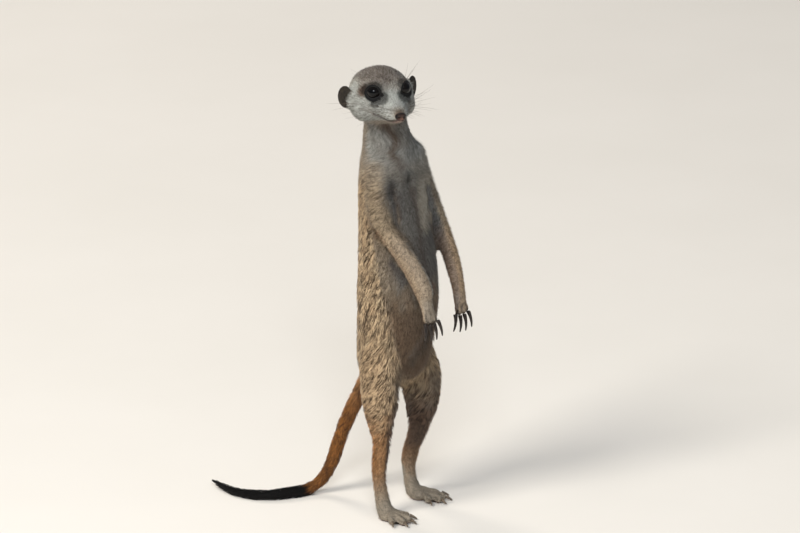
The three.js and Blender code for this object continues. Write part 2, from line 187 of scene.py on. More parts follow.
# The head's own frame: x to its left, y to the back, z up.
HEAD_YAW = math.radians(-25)
HEAD_PITCH = math.radians(2)
EYE_PLACE = np.array([12.2, -14.0, 6.9])
HEAD_TURN = np.array(Matrix.Rotation(HEAD_YAW, 3, "Z") @ Matrix.Rotation(HEAD_PITCH, 3, "X"))
eye_boxes = {side: node_box("eye_" + side) for side in SIDES}
eyes_middle = sum(box[0] + box[1] for box in eye_boxes.values()) / 4
HEAD_ORIGIN = eyes_middle - HEAD_TURN @ (EYE_PLACE * (0, 1, 1))


def to_head(p):
    return (p - HEAD_ORIGIN) @ HEAD_TURN


def from_head(p):
    return HEAD_ORIGIN + np.asarray(p, float) @ HEAD_TURN.T


def fold(head):
    """The right half of the head laid over its left one."""
    return np.abs(head) * (1, 0, 0) + head * (0, 1, 1)


def head_tree():
    faces = [tuple(face.vertices) for face in nodes["head"].data.polygons]
    return BVHTree.FromPolygons(node_points("head").tolist(), faces)


HEAD_TREE = head_tree()


def outside_head(p):
    """How far points lie outside the solid of the head, less than 0 inside it."""
    gap = np.zeros(len(p))
    for i, point in enumerate(p):
        at, normal, _, distance = HEAD_TREE.find_nearest(Vector(point))
        gap[i] = distance if normal.dot(Vector(point) - at) > 0 else -distance
    return gap


def limb_bones():
    bones = {
        "spine": Bone.through(("hips", "z", 0.05, 0.9), ("belly", "z", 0.5), ("chest", "z", 0.05, 0.55, 0.97),
                              ("neck", "z", 0.6)),
        "tail": Bone.through(("tail_root", "z", 0.95, 0.5, 0.05), ("tail_bend", "z", 0.62, 0.37),
                             ("tail_bend", "x", 0.58, 0.3), ("tail_middle", "y", 0.08, 0.6),
                             ("tail_tip", "y", 0.1, 0.9)),
    }
    for side in SIDES:
        bones["arm_" + side] = Bone.through(
            ("upper_arm_" + side, "z", 0.9, 0.5, 0.06), ("forearm_" + side, "z", 0.55, 0.08),
            ("hand_" + side, "z", 0.6, 0.05))
        bones["leg_" + side] = Bone.through(
            ("thigh_" + side, "z", 0.9, 0.5, 0.04), ("shank_" + side, "z", 0.5, 0.04),
            ("foot_" + side, "z", 0.35), ("foot_" + side, "y", 0.5, 0.12))
    bones["head"] = Bone(from_head([(0, -33, -6.5), (0, -20, -5), (0, -6, -2), (0, 14, 0)]), [5, 12, 22, 22])
    return bones


BONES = limb_bones()
LIMBS = list(BONES)


# ------------------------------------------------------------------ camera

VIEW_TURN = math.radians(-48)
VIEW_DROP = math.radians(20)
VIEW_DISTANCE = 8040.0
VIEW_LENS = 496.8
NEAR_TOE_POINT = np.array([-10.05, -56.36, 0.0])
FRAME_MIDDLE = (5.826, 183.9)


def make_camera():
    """The near foot lies on the level axis of the view. The camera is then turned to the frame's middle."""
    right = np.array([math.cos(VIEW_TURN), math.sin(VIEW_TURN), 0])
    ahead = np.array([-math.sin(VIEW_TURN), math.cos(VIEW_TURN), 0])
    forward = ahead * math.cos(VIEW_DROP) - np.array([0, 0, math.sin(VIEW_DROP)])
    up = ahead * math.sin(VIEW_DROP) + np.array([0, 0, math.cos(VIEW_DROP)])
    at = NEAR_TOE_POINT - forward * VIEW_DISTANCE
    forward = unit(forward * VIEW_DISTANCE + right * FRAME_MIDDLE[0] + up * FRAME_MIDDLE[1])
    right = unit(np.cross(forward, up))
    up = np.cross(right, forward)
    data = bpy.data.cameras.new("camera")
    data.lens = VIEW_LENS
    data.sensor_width = 36
    data.clip_end = 100
    camera = bpy.data.objects.new("camera", data)
    turn = Matrix(np.column_stack([right, up, -forward]).tolist()).to_4x4()
    camera.matrix_world = Matrix.Translation(Vector(at * MM)) @ turn
    bpy.context.scene.collection.objects.link(camera)
    bpy.context.scene.camera = camera


make_camera()


# ------------------------------------------------------------------ mesh arrays

def object_from(name, points, faces):
    """A mesh object from points in millimetres and an array of triangles or quads."""
    mesh = bpy.data.meshes.new(name)
    count, corners = faces.shape
    mesh.vertices.add(len(points))
    mesh.vertices.foreach_set("co", (points * MM).astype(np.float32).ravel())
    mesh.loops.add(count * corners)
    mesh.loops.foreach_set("vertex_index", faces.astype(np.int32).ravel())
    mesh.polygons.add(count)
    mesh.polygons.foreach_set("loop_start", np.arange(0, count * corners, corners, dtype=np.int32))
    mesh.polygons.foreach_set("use_smooth", np.ones(count, bool))
    mesh.update(calc_edges=True)
    thing = bpy.data.objects.new(name, mesh)
    bpy.context.scene.collection.objects.link(thing)
    return thing


def mesh_points(mesh):
    flat = np.empty(len(mesh.vertices) * 3, np.float32)
    mesh.vertices.foreach_get("co", flat)
    return flat.reshape(-1, 3).astype(float) / MM


def mesh_faces(mesh, corners):
    flat = np.empty(len(mesh.loops), np.int32)
    mesh.loops.foreach_get("vertex_index", flat)
    return flat.reshape(-1, corners)


def evaluated_mesh(thing):
    graph = bpy.context.evaluated_depsgraph_get()
    return bpy.data.meshes.new_from_object(thing.evaluated_get(graph))


def drop(thing):
    mesh = thing.data
    bpy.data.objects.remove(thing)
    bpy.data.meshes.remove(mesh)


def put_colours(thing, name, values):
    layer = thing.data.attributes.new(name, "FLOAT_COLOR", "POINT")
    layer.data.foreach_set("color", values.astype(np.float32).ravel())


def put_marks(thing, marks):
    put_colours(thing, "marks_a", marks[:, :4])
    put_colours(thing, "marks_b", marks[:, 4:])


class Surface:
    """Points and triangles of the skin, with what the coat needs to find its way over them."""

    def __init__(self, points, triangles):
        self.points = points
        self.triangles = triangles
        sides = np.sort(np.vstack([triangles[:, [0, 1]], triangles[:, [1, 2]], triangles[:, [2, 0]]]), axis=1)
        self.edges = np.unique(sides, axis=0)
        both = np.vstack([self.edges, self.edges[:, ::-1]])
        both = both[np.argsort(both[:, 0], kind="stable")]
        self.degree = np.bincount(both[:, 0], minlength=len(points))
        starts = np.concatenate([[0], np.cumsum(self.degree)[:-1]])
        slot = np.arange(len(both)) - starts[both[:, 0]]
        near = np.tile(np.arange(len(points))[:, None], (1, 9))
        kept = slot < 8
        near[both[kept, 0], slot[kept] + 1] = both[kept, 1]
        self.near = near
        self.refresh()

    def refresh(self):
        a, b, c = (self.points[self.triangles[:, k]] for k in range(3))
        across = np.cross(b - a, c - a)
        self.area = np.linalg.norm(across, axis=1) / 2
        total = np.zeros_like(self.points)
        for k in range(3):
            for axis in range(3):
                total[:, axis] += np.bincount(self.triangles[:, k], across[:, axis], len(self.points))
        self.normals = unit(total)

    def average(self, values):
        """Mean over each point's neighbours."""
        a, b = self.edges[:, 0], self.edges[:, 1]
        columns = values if values.ndim == 2 else values[:, None]
        total = [np.bincount(a, col[b], len(col)) + np.bincount(b, col[a], len(col)) for col in columns.T]
        out = np.stack(total, 1) / self.degree[:, None]
        return out if values.ndim == 2 else out[:, 0]

    def relax(self, amount, rounds):
        """Smooths the points; every second round gives back what the first one shrank."""
        amount = np.broadcast_to(amount, len(self.points))[:, None]
        for i in range(rounds):
            step = 0.6 if i % 2 == 0 else -0.55
            self.points = self.points + step * amount * (self.average(self.points) - self.points)
        self.refresh()

    def settle(self, amount, rounds):
        """Plain smoothing, which takes out the flats of the solids."""
        amount = np.broadcast_to(amount, len(self.points))[:, None]
        for _ in range(rounds):
            self.points = self.points + 0.6 * amount * (self.average(self.points) - self.points)
        self.refresh()

    def find(self, p, guess):
        """Number of the point nearest to p, searched outwards from a guess."""
        rows = np.arange(len(p))
        for _ in range(12):
            around = self.near[guess]
            gap = ((self.points[around] - p[:, None]) ** 2).sum(2)
            best = around[rows, gap.argmin(1)]
            if (best == guess).all():
                break
            guess = best
        return guess


# ------------------------------------------------------------------ skin

FLESH = [name for name in nodes if "claw" not in name]
SWELL = 0.35
VOXEL = 0.75
SKIN_TRIANGLES = 112000
SHRINK_STEPS = 4
SKIN_OFF_FLOOR = 0.02


def flesh_blank():
    """All solids of flesh, each a little swollen so that they melt together when remeshed."""
    joined = bmesh.new()
    for name in FLESH:
        one = bmesh.new()
        one.from_mesh(nodes[name].data)
        bmesh.ops.remove_doubles(one, verts=one.verts, dist=1e-6)
        one.normal_update()
        for vertex in one.verts:
            vertex.co += vertex.normal * SWELL * MM
        mesh = bpy.data.meshes.new("part")
        one.to_mesh(mesh)
        one.free()
        joined.from_mesh(mesh)
        bpy.data.meshes.remove(mesh)
    mesh = bpy.data.meshes.new("flesh")
    joined.to_mesh(mesh)
    joined.free()
    blank = bpy.data.objects.new("flesh", mesh)
    bpy.context.scene.collection.objects.link(blank)
    remesh = blank.modifiers.new("remesh", "REMESH")
    remesh.mode = "VOXEL"
    remesh.voxel_size = VOXEL * MM
    mesh = evaluated_mesh(blank)
    points, quads = mesh_points(mesh), mesh_faces(mesh, 4)
    drop(blank)
    return largest_island(points, quads)


def largest_island(points, quads):
    """The largest part that hangs together of a surface of quads."""
    label = np.arange(len(points))
    a = quads.T.ravel()
    b = np.roll(quads, -1, axis=1).T.ravel()
    while True:
        low = np.minimum(label[a], label[b])
        new = label.copy()
        np.minimum.at(new, a, low)
        np.minimum.at(new, b, low)
        new = new[new]
        if (new == label).all():
            break
        label = new
    kept = label == np.bincount(label).argmax()
    renumber = np.cumsum(kept) - 1
    return points[kept], renumber[quads[kept[quads[:, 0]]]]


def limb_shares(p):
    """For every point, how much it belongs to each limb, and its place on each."""
    places = {limb: BONES[limb].place(p) for limb in LIMBS}
    closeness = np.stack([-7.0 * places[limb][1] for limb in LIMBS], 1)
    shares = np.exp(closeness - closeness.max(1, keepdims=True))
    shares /= shares.sum(1, keepdims=True)
    return {limb: shares[:, i] for i, limb in enumerate(LIMBS)}, places


# Depth of the coat over the skin, and length of its hairs, at each landmark of a bone, in millimetres.
COAT_DEPTH = {
    "spine": (4.0, 4.2, 3.8, 3.8, 3.0, 2.3, 1.9),
    "tail": (2.8, 2.6, 2.3, 2.1, 2.0, 1.7, 1.5, 1.4, 1.3, 1.3, 1.2),
    "arm": (2.4, 1.8, 1.4, 1.0, 0.8, 0.6, 0.3),
    "leg": (3.8, 3.4, 2.6, 1.9, 1.4, 1.1, 0.7, 0.4),
}
COAT_LENGTH = {
    "spine": (10, 12, 12.5, 11, 8, 6.2, 5),
    "tail": (9, 8, 7, 6.5, 6, 6, 6, 6, 6, 6.5, 7),
    "arm": (6.5, 5.2, 4, 3.3, 2.8, 2.6, 2.4),
    "leg": (10.5, 10, 7.5, 5, 4, 3.2, 2.2, 1.6),
}
HEAD_STATIONS = (-36, -30, -20, -10, 0, 10, 20)
HEAD_DEPTH = (0.3, 0.45, 0.7, 0.9, 1.2, 1.5, 2.0)
HEAD_LENGTH = (0.9, 1.3, 1.8, 2.4, 2.9, 3.6, 5.0)


# Where the short coat of the belly begins: how far back, at each height.
FLANK_HEIGHTS = (130, 145, 157, 168, 185, 200, 217)
FLANK_LINE = (-57.0, -56.0, -54.5, -51.5, -48.0, -45.0, -40.0)


class Lie:
    """What the coat is like at every point of a surface: limb shares, depth, length and direction."""

    def __init__(self, p, normals):
        self.p = p
        self.n = normals
        self.shares, self.places = limb_shares(p)
        self.head = to_head(p)
        self.folded = fold(self.head)
        self.head_n = normals @ HEAD_TURN
        self.trunk = self.shares["spine"]
        self.before = np.interp(p[:, 2], FLANK_HEIGHTS, FLANK_LINE) - p[:, 1]
        low = ramp(232, 218, p[:, 2])
        self.front = (1 - low) * ramp(0.15, 0.75, -normals[:, 1]) + low * ramp(-2.5, 1.5, self.before)
        self.depth = self.table(COAT_DEPTH, HEAD_DEPTH)
        self.length = self.table(COAT_LENGTH, HEAD_LENGTH)
        self.thin_out()

    def share(self, kind):
        return sum(self.shares[limb] for limb in LIMBS if limb.startswith(kind))

    def along(self, kind):
        """Landmark number along whichever limb of this kind is nearer."""
        names = [limb for limb in LIMBS if limb.startswith(kind)]
        ratio = np.stack([self.places[n][1] for n in names])
        step = np.stack([self.places[n][0] for n in names])
        return step[ratio.argmin(0), np.arange(len(self.p))]

    def table(self, tables, head_table):
        total = self.shares["head"] * np.interp(self.head[:, 1], HEAD_STATIONS, head_table)
        for limb in LIMBS:
            if limb != "head":
                values = tables[limb.split("_")[0]]
                here = np.interp(self.places[limb][0], np.arange(len(values)), values)
                total = total + self.shares[limb] * here
        return total

    def thin_out(self):
        """Shorter hair on belly, ears and lips, round the eyes and under the arms; no depth on the soles."""
        head = self.shares["head"]
        self.belly = self.trunk * self.front * ramp(290, 250, self.p[:, 2])
        self.depth *= 1 - 0.5 * self.belly
        self.length *= 1 - 0.52 * self.belly
        beard = head * ramp(-8, -14, self.head[:, 2]) * ramp(-27, -14, self.head[:, 1])
        self.length += 2.2 * beard
        self.depth += 0.5 * beard
        self.ear = self.ear_mask()
        self.nose_gap = np.linalg.norm(self.head - NOSE_PAD, axis=1)
        pad = np.abs((self.head[:, [0, 2]] - NOSE_PAD[[0, 2]] - (0, 0.1)) / (4.5, 3.1)) ** 2.4
        self.nose = ramp(1.25, 0.85, pad.sum(1)) * ramp(-34.6, -36.0, self.head[:, 1])
        self.eye_gap = np.linalg.norm(self.folded - EYE_PLACE, axis=1)
        near_eye = ramp(10, 6.5, self.eye_gap)
        self.depth *= 1 - 0.6 * near_eye
        self.length *= 1 - 0.55 * near_eye
        self.mouth_gap = line_gap(self.folded, MOUTH_LINE)
        self.length *= 1 - 0.5 * head * bell(self.mouth_gap, 2.8)
        self.depth *= (1 - 0.93 * self.ear) * (1 - 0.95 * np.clip(self.nose * 1.3, 0, 1))
        self.length *= 1 - 0.68 * self.ear
        self.seam = np.clip(4 * self.share("arm") * self.trunk, 0, 1) * ramp(1.3, 2.1, self.along("arm"))
        self.length *= 1 - 0.5 * self.seam
        contact = self.trunk * bell(line_gap(self.p, ARM_SHADE[0]), 8)
        self.length *= 1 - 0.5 * contact
        self.depth *= 1 - 0.45 * contact
        self.sole = ramp(2.5, 0.8, self.p[:, 2]) * ramp(-0.2, -0.7, self.n[:, 2])
        self.depth *= 1 - self.sole

    def ear_mask(self):
        """1 on an ear: near its solid and clear of the head's."""
        mask = np.zeros(len(self.p))
        for side in SIDES:
            low, high = node_box("ear_" + side)
            near = np.nonzero(((self.p > low - 1.5) & (self.p < high + 1.5)).all(1))[0]
            mask[near] = ramp(0.3, 1.1, outside_head(self.p[near]))
        return mask

    def direction(self):
        """Which way the hair points, along the surface."""
        n, p = self.n, self.p
        x, y, z = p.T
        down, back = np.array([0, 0, -1.0]), np.array([0, 1.0, 0])

        def heading_of(*parts):
            return np.stack([np.broadcast_to(part, len(p)) for part in parts], 1)

        side = np.abs(n[:, :1])
        neck = ramp(252, 285, z)[:, None]
        trunk = down + back * (0.30 * side * (1 - neck) - 0.75 * side * neck)
        off = p - WHORL
        pull = np.exp(-(np.linalg.norm(off, axis=1) / 26) ** 2) * ramp(16, 2, off[:, 2])
        pull = (pull * ramp(0, 0.4, -n[:, 1] + 0.25))[:, None]
        trunk = unit(trunk) * (1 - pull) + unit(off) * pull * 1.3
        outward = heading_of(np.tanh(off[:, 0] / 4), 0.9, -0.3)
        breast = (ramp(236, 258, z) * ramp(306, 288, z))[:, None] * 0.9
        trunk = trunk * (1 - breast) + unit(outward) * breast
        toward = heading_of(-0.6 * np.tanh((x - 6) / 3), -0.3, -0.8)
        throat = (ramp(281, 288, z + 18 * ramp(6, 10, x)) * ramp(-0.3, 0.2, -n[:, 1]))[:, None]
        trunk = trunk * (1 - throat) + unit(toward) * throat
        total = self.shares["spine"][:, None] * trunk
        for limb in LIMBS:
            share = self.shares[limb][:, None]
            along, _, heading, _ = self.places[limb]
            along = along[:, None]
            if limb.startswith("arm"):
                trailing = tangent(np.broadcast_to(back, p.shape), heading)
                across = np.interp(along, (0, 1, 3, 4, 5), (0.9, 1.0, 1.1, 0.8, 0.05))
                total += share * (0.4 * heading + across * trailing) * (1 - 0.6 * breast)
                total += share * 0.6 * breast * unit(outward)
            elif limb.startswith("leg"):
                sweep = np.interp(along, (0, 1, 2, 3, 4, 5), (0.45, 0.75, 0.95, 0.7, 0.3, 0.05))
                total += share * (heading + sweep * back)
            elif limb == "tail":
                total += share * heading
        away = (self.head - (0, -41, -6)) * (1, 1, 1.15)
        total += self.shares["head"][:, None] * (unit(away) @ HEAD_TURN.T)
        return tangent(total, n)


NOSE_PAD = to_head(sum(node_box("nose")) / 2)
WHORL = np.array([7.2, -59.2, node_box("chest")[0][2] + 56])


# ------------------------------------------------------------------ shaping the skin

EYE_RADIUS = 5.5
EYE_GAZE = unit(np.array([0.55, -0.80, 0.22]))
EYE_BACK = 1.7
LID_WIDE, LID_HIGH = math.radians(55), math.radians(50)
LID_THICK = 0.4
INNER_CORNER, OUTER_CORNER = math.radians(202), math.radians(8)
NOSE_SIZE = np.array([4.3, 3.2, 2.9])
NOSTRIL = np.array([1.9, -38.2, -6.2])
MOUTH_LINE = [(0.0, -36.2, -9.6), (3.2, -34.6, -9.9), (7.0, -29.6, -10.6), (12.0, -23.0, -8.2),
              (14.5, -19.5, -7.2)]
LIP_GROOVE = [(0, -39.2, -5.2), (0, -38.4, -7.6), (0, -36.6, -9.6)]
EAR_FOLD = [(25.4, 4.3, 9.0), (26.5, 4.3, 7.1), (28.2, 4.0, 2.5), (27.0, 4.2, -2.0)]
EAR_NOTCH = [(27.2, 4.2, -4.4), (25.4, 2.8, -3.0), (24.6, 1.6, -3.0)]
CHEEK_LINE = [(14.5, -19.5, -7.2), (18.3, -15.3, -5.8), (20.5, -11.0, -6.2)]


def eye_axes(sign):
    """Centre, gaze, outward and upward directions of an eye in the head's frame."""
    flip = np.array([sign, 1, 1])
    gaze = EYE_GAZE * flip
    centre = EYE_PLACE * flip - gaze * EYE_BACK
    up = unit(np.array([0, 0, 1.0]) - gaze[2] * gaze)
    out = np.cross(gaze, up)
    if out[0] * sign < 0:
        out = -out
    return centre, gaze, out, up


def lid_angle(azimuth):
    """Angle from the gaze at which the lid's edge lies; the inner corner reaches forward and down."""
    total = 1 / np.sqrt((np.cos(azimuth) / LID_WIDE) ** 2 + (np.sin(azimuth) / LID_HIGH) ** 2)
    for corner, more, wide in ((INNER_CORNER, 11, 0.35), (OUTER_CORNER, 4, 0.3)):
        turn = np.angle(np.exp(1j * (azimuth - corner)))
        total = total + math.radians(more) * np.exp(-(turn / wide) ** 2)
    return total


def shape_lids(head):
    """Opens the skin over each eyeball and rolls a lid round the opening."""
    for sign in SIDES.values():
        centre, gaze, out, up = eye_axes(sign)
        off = head - centre
        radius = np.linalg.norm(off, axis=1)
        heading = off / radius[:, None]
        angle = np.arccos(np.clip(heading @ gaze, -1, 1))
        azimuth = np.arctan2(heading @ up, heading @ out)
        edge = lid_angle(azimuth)
        past = np.degrees(angle - edge)
        zone = (radius < 11) & (angle < math.radians(110))
        upper = ramp(-0.1, 0.5, np.sin(azimuth))
        lid = EYE_RADIUS + LID_THICK + 0.3 * bell(past - 7, 9) - 0.3 * upper * bell(past - 19, 6)
        shell = lid - 0.06 * np.clip(past - 24, 0, 90)
        soft = 0.7
        wanted = soft * np.logaddexp(radius / soft, shell / soft)
        wanted = wanted + (radius - wanted) * ramp(8.5, 10.5, radius)
        rim = ramp(10, 2, past)
        wanted = wanted * (1 - rim) + lid * rim
        inside = EYE_RADIUS + 0.1 - 1.6 * ramp(-1, -9, past)
        wanted = np.where(past < 0, inside + (EYE_RADIUS + LID_THICK - inside) * ramp(-2.5, 0, past), wanted)
        head = np.where(zone[:, None], centre + heading * wanted[:, None], head)
    return head


def push(points, normals, middle, reach, amount, stretch=(1, 1, 1)):
    """Moves skin near a place out or in along its normal."""
    gap = np.linalg.norm((points - np.asarray(middle, float)) / stretch, axis=1)
    return points + normals * (amount * bell(gap, reach))[:, None]


def crease(points, normals, line, reach, amount):
    """Moves skin near a line out or in along its normal."""
    return points + normals * (amount * bell(line_gap(points, line), reach))[:, None]


def both_sides(tool, head, normals, where, *rest):
    """Works a place or line of the head on its left and on its right; one in the middle is worked once."""
    where = np.asarray(where, float)
    for sign in SIDES.values() if np.abs(where[..., 0]).max() > 0 else (1,):
        head = tool(head, normals, where * (sign, 1, 1), *rest)
    return head


def shape_face(head, normals):
    """Brow, muzzle, whisker pads, mouth, chin and cheeks, in the head's frame."""
    for middle, reach, amount, stretch in (
            ((7.4, -29.5, -6.2), 6.5, 1.5, (0.9, 1.3, 0.9)),
            ((0, -32.0, -12.0), 5.0, 0.5, (1.2, 1, 0.8)),
            (EYE_PLACE, 13.0, 1.3, (1, 1, 1)),
            ((9.5, -9.5, 14.2), 6.0, 0.5, (1.4, 1, 0.7)),
            ((9.0, -25.5, 0.5), 5.5, -0.6, (0.9, 1.3, 0.8)),
            ((20.0, -7.0, -8.0), 9.0, 0.6, (1, 1.3, 1)),
            ((12.5, -18.0, -4.0), 5.0, 0.5, (1.2, 1.4, 0.8)),
            ((4.4, -36.6, -8.8), 2.2, 0.35, (1, 1, 1)),
            ((19.5, -6.0, -12.5), 9.0, 1.5, (1, 1, 1))):
        head = both_sides(push, head, normals, middle, reach, amount, stretch)
    head = both_sides(crease, head, normals, MOUTH_LINE, 1.1, -1.1)
    head = both_sides(crease, head, normals, np.array(MOUTH_LINE) - (0, 0, 1.5), 1.2, 0.35)
    head = both_sides(crease, head, normals, CHEEK_LINE, 1.8, -0.4)
    head = both_sides(crease, head, normals, EAR_FOLD, 1.0, 0.3)
    return both_sides(crease, head, normals, EAR_NOTCH, 1.1, -0.9)


def shape_nose(head, normals):
    """A blunt pad, wider above than below, with two comma-shaped nostrils and a groove down to the lip."""
    off = (head - NOSE_PAD) / NOSE_SIZE
    off[:, 0] *= 1 + 0.3 * ramp(0.2, -1.0, off[:, 2])
    size = (np.abs(off) ** 2.5).sum(1) ** (1 / 2.5)
    soft = 0.07
    wanted = soft * np.logaddexp(size / soft, 1 / soft)
    near = ramp(1.8, 1.3, size)[:, None]
    head = head + near * (head - NOSE_PAD) * (wanted / np.maximum(size, 0.05) - 1)[:, None]
    for middle, reach, amount, stretch in (
            (NOSTRIL, 1.25, -1.7, (1, 1, 0.8)),
            (NOSTRIL + (1.2, 0.9, -0.5), 0.95, -0.9, (1.2, 1, 0.6)),
            (NOSTRIL + (0.2, 0.2, 1.6), 1.2, 0.25, (1.2, 1, 1)),
            (NOSTRIL + (-0.3, 0.1, -1.9), 1.1, 0.2, (1.2, 1, 1))):
        head = both_sides(push, head, normals, middle, reach, amount, stretch)
    return both_sides(crease, head, normals, LIP_GROOVE, 0.6, -0.4)


# Folds of the trunk: a line through a few places, its reach, and how far it stands out (or in, below 0).
THROAT_RIDGE = [(6.6, -54.0, 296.0), (6.2, -55.3, 282.0), (3.3, -57.0, 271.5), (7.6, -59.0, 262.0)]
THROAT_BAND = [(-8.6, -48.4, 301.0), (-4.8, -51.6, 292.3), (-2.2, -53.0, 285.9), (-1.2, -55.0, 275.0),
               (3.0, -57.5, 266.0)]
BELLY_LINE = [(7.2, -59.2, 250.0), (11.2, -64.4, 229.8), (9.6, -70.7, 197.3), (13.5, -71.8, 175.0),
              (12.9, -67.9, 130.8)]
POUCH_EDGE = [(14.0, -71.0, 158.0), (11.5, -70.0, 145.0), (7.8, -67.6, 133.6), (4.4, -65.8, 128.7),
              (1.2, -62.8, 124.2)]
ELBOWS = [(-19.6, -42.5, 224.5), (33.0, -44.0, 226.0)]
ARM_SHADE = (
    [(-18.0, -42.0, 224.0), (-16.8, -47.8, 215.8), (-12.0, -52.2, 207.0), (-9.8, -57.1, 198.4),
     (-5.3, -64.7, 186.0)],
    [(-5.4, -54.3, 254.0), (-5.0, -55.7, 245.6), (-5.3, -56.9, 236.8), (-5.6, -58.2, 228.0)],
    [(26.8, -58.2, 247.0), (28.2, -58.9, 236.0), (24.6, -62.2, 224.0), (27.1, -62.8, 212.0)])
FOREARM_FILL = 1.0
ARM_GROOVE = 1.7
SHOULDER = [(24.0, -48.5, 272.0)]
NIPPLES = [(27.3, -65.6, 198.6), (18.6, -72.5, 177.2), (-3.0, -66.5, 197.0), (4.5, -72.0, 176.0)]
# Where the tip of the elbow meets the flank.
ELBOW_NOOK = [(-20.5, -39.5, 219.0), (-18.0, -42.5, 216.0)]
TRUNK_FOLDS = (
    (THROAT_RIDGE, 3.2, 1.0),
    (THROAT_BAND, 5.0, -0.8),
    ([(7.2, -59.2, 254.0), (8.4, -58.1, 264.0)], 3.4, -1.5),
    (ARM_SHADE[0], 3.2, -2.2),
    (ELBOW_NOOK, 3.4, -1.2),
    (ARM_SHADE[1], 3.4, -1.6),
    (ARM_SHADE[2], 3.2, -2.4),
    (BELLY_LINE, 3.4, -0.6),
    (POUCH_EDGE, 2.6, 1.2),
    (np.array(POUCH_EDGE) + (5.5, 1.5, -3.0), 3.2, -1.8),
    ([(-11.5, -55.5, 162.0), (-9.7, -57.0, 145.6), (-8.4, -56.8, 133.8), (-6.3, -57.8, 123.5)], 3.4, -1.5),
)


UP_THE_PAW = {"hand": (0.0, 0.1, 1.0), "foot": (0.0, 0.95, 0.3)}


def claw_names(limb, side):
    return sorted(name for name in nodes if name.startswith(f"{limb}_claw_{side}_"))


def claw_root(name, aim):
    """The end of a claw that lies farthest along an aim."""
    points = node_points(name)
    return points[np.argsort(-(points @ aim))[:5]].mean(0)


def finger_gaps():
    """Lines up the paws between neighbouring fingers and toes, starting between the roots of their claws."""
    lines = []
    for limb, upwards in UP_THE_PAW.items():
        aim = unit(np.array(upwards))
        for side in SIDES:
            roots = [claw_root(name, aim) for name in claw_names(limb, side)]
            middles = [(a + b) / 2 for a, b in zip(roots[:-1], roots[1:])]
            lines += [[middle - 2.0 * aim, middle + 7.0 * aim] for middle in middles]
    return lines


def claw_roots():
    """Where the claws leave the paws."""
    return [claw_root(name, np.array(UP_THE_PAW[name.split("_")[0]])) for name in nodes if "claw" in name]


def shape_body(skin, lie):
    """Folds and hollows of throat, armpits, belly and groin, and the tendons and bones of the lower legs."""
    points, normals = skin.points, skin.normals
    for line, reach, amount in TRUNK_FOLDS:
        points = crease(points, normals, line, reach, amount)
    for places, reach, amount in ((NIPPLES, 1.8, 0.7), (ELBOWS, 6.0, 1.8), (SHOULDER, 13.0, 3.2)):
        for place in places:
            points = points + normals * (amount * bell(place_gap(points, place), reach))[:, None]
    points = points - normals * (ARM_GROOVE * lie.seam)[:, None]
    for line in finger_gaps():
        points = crease(points, normals, line, 1.1, -0.6)
    for side in SIDES:
        fill = FOREARM_FILL * bell(lie.places["arm_" + side][0] - 3.3, 1.6)
        points = points + normals * (lie.shares["arm_" + side] * fill)[:, None]
    for side in SIDES:
        limb = "leg_" + side
        along, _, heading, offset = lie.places[limb]
        rear = np.abs(around(offset, heading, (0, 1, 0)))
        calf = bell(along - 2.7, 0.9) * bell(rear, 0.16)
        tendon = bell(along - 4.1, 0.9) * (bell(rear, 0.07) - 1.3 * bell(rear - 0.2, 0.1))
        shin = bell(along - 3.6, 1.1) * bell(rear - 0.5, 0.12)
        heel = bell(along - 5.0, 0.45) * bell(rear, 0.12)
        out = lie.shares[limb] * (0.7 * calf + 0.6 * tendon + 0.4 * shin + 0.5 * heel)
        points = points + normals * out[:, None]
    skin.points = points
    skin.refresh()


def around(offset, heading, reference):
    """Turn about a bone, -0.5 to 0.5."""
    first = tangent(np.broadcast_to(np.asarray(reference, float), offset.shape), heading)
    second = np.cross(heading, first)
    return np.arctan2((offset * second).sum(1), (offset * first).sum(1)) / (2 * math.pi)


def refined(points, triangles, wanted):
    """Splits the wanted triangles into four and mends their neighbours."""
    mesh = bpy.data.meshes.new("fine")
    mesh.from_pydata((points * MM).tolist(), [], triangles.tolist())
    fine = bmesh.new()
    fine.from_mesh(mesh)
    fine.faces.ensure_lookup_table()
    edges = {edge for number in np.nonzero(wanted)[0] for edge in fine.faces[number].edges}
    bmesh.ops.subdivide_edges(fine, edges=list(edges), cuts=1, use_grid_fill=True)
    bmesh.ops.triangulate(fine, faces=[face for face in fine.faces if len(face.verts) > 3])
    fine.to_mesh(mesh)
    fine.free()
    out = mesh_points(mesh), mesh_faces(mesh, 3)
    bpy.data.meshes.remove(mesh)
    return out


def decimated(points, triangles, keep):
    """Fewer triangles, mostly where keep is low."""
    blank = object_from("thin", points, triangles)
    group = blank.vertex_groups.new(name="thin")
    level = np.round((1 - keep) * 10).astype(int)
    for value in range(1, 11):
        numbers = np.nonzero(level == value)[0]
        if len(numbers):
            group.add(numbers.tolist(), value / 10, "REPLACE")
    thin = blank.modifiers.new("thin", "DECIMATE")
    thin.ratio = SKIN_TRIANGLES / len(triangles)
    thin.vertex_group = "thin"
    thin.vertex_group_factor = 1.5
    mesh = evaluated_mesh(blank)
    triangulated = mesh_points(mesh), mesh_faces(mesh, 3)
    drop(blank)
    return triangulated


def near_face(points, triangles, eye_reach, muzzle):
    """Which triangles lie round an eye, along the mouth or on the front of the muzzle."""
    middle = to_head(points)[triangles].mean(1)
    folded = fold(middle)
    by_eye = np.linalg.norm(folded - EYE_PLACE, axis=1) < eye_reach
    by_mouth = polyline_distance(folded, MOUTH_LINE) < eye_reach - 6
    return by_eye | by_mouth | ((middle[:, 1] < muzzle) & (middle[:, 2] > -17))


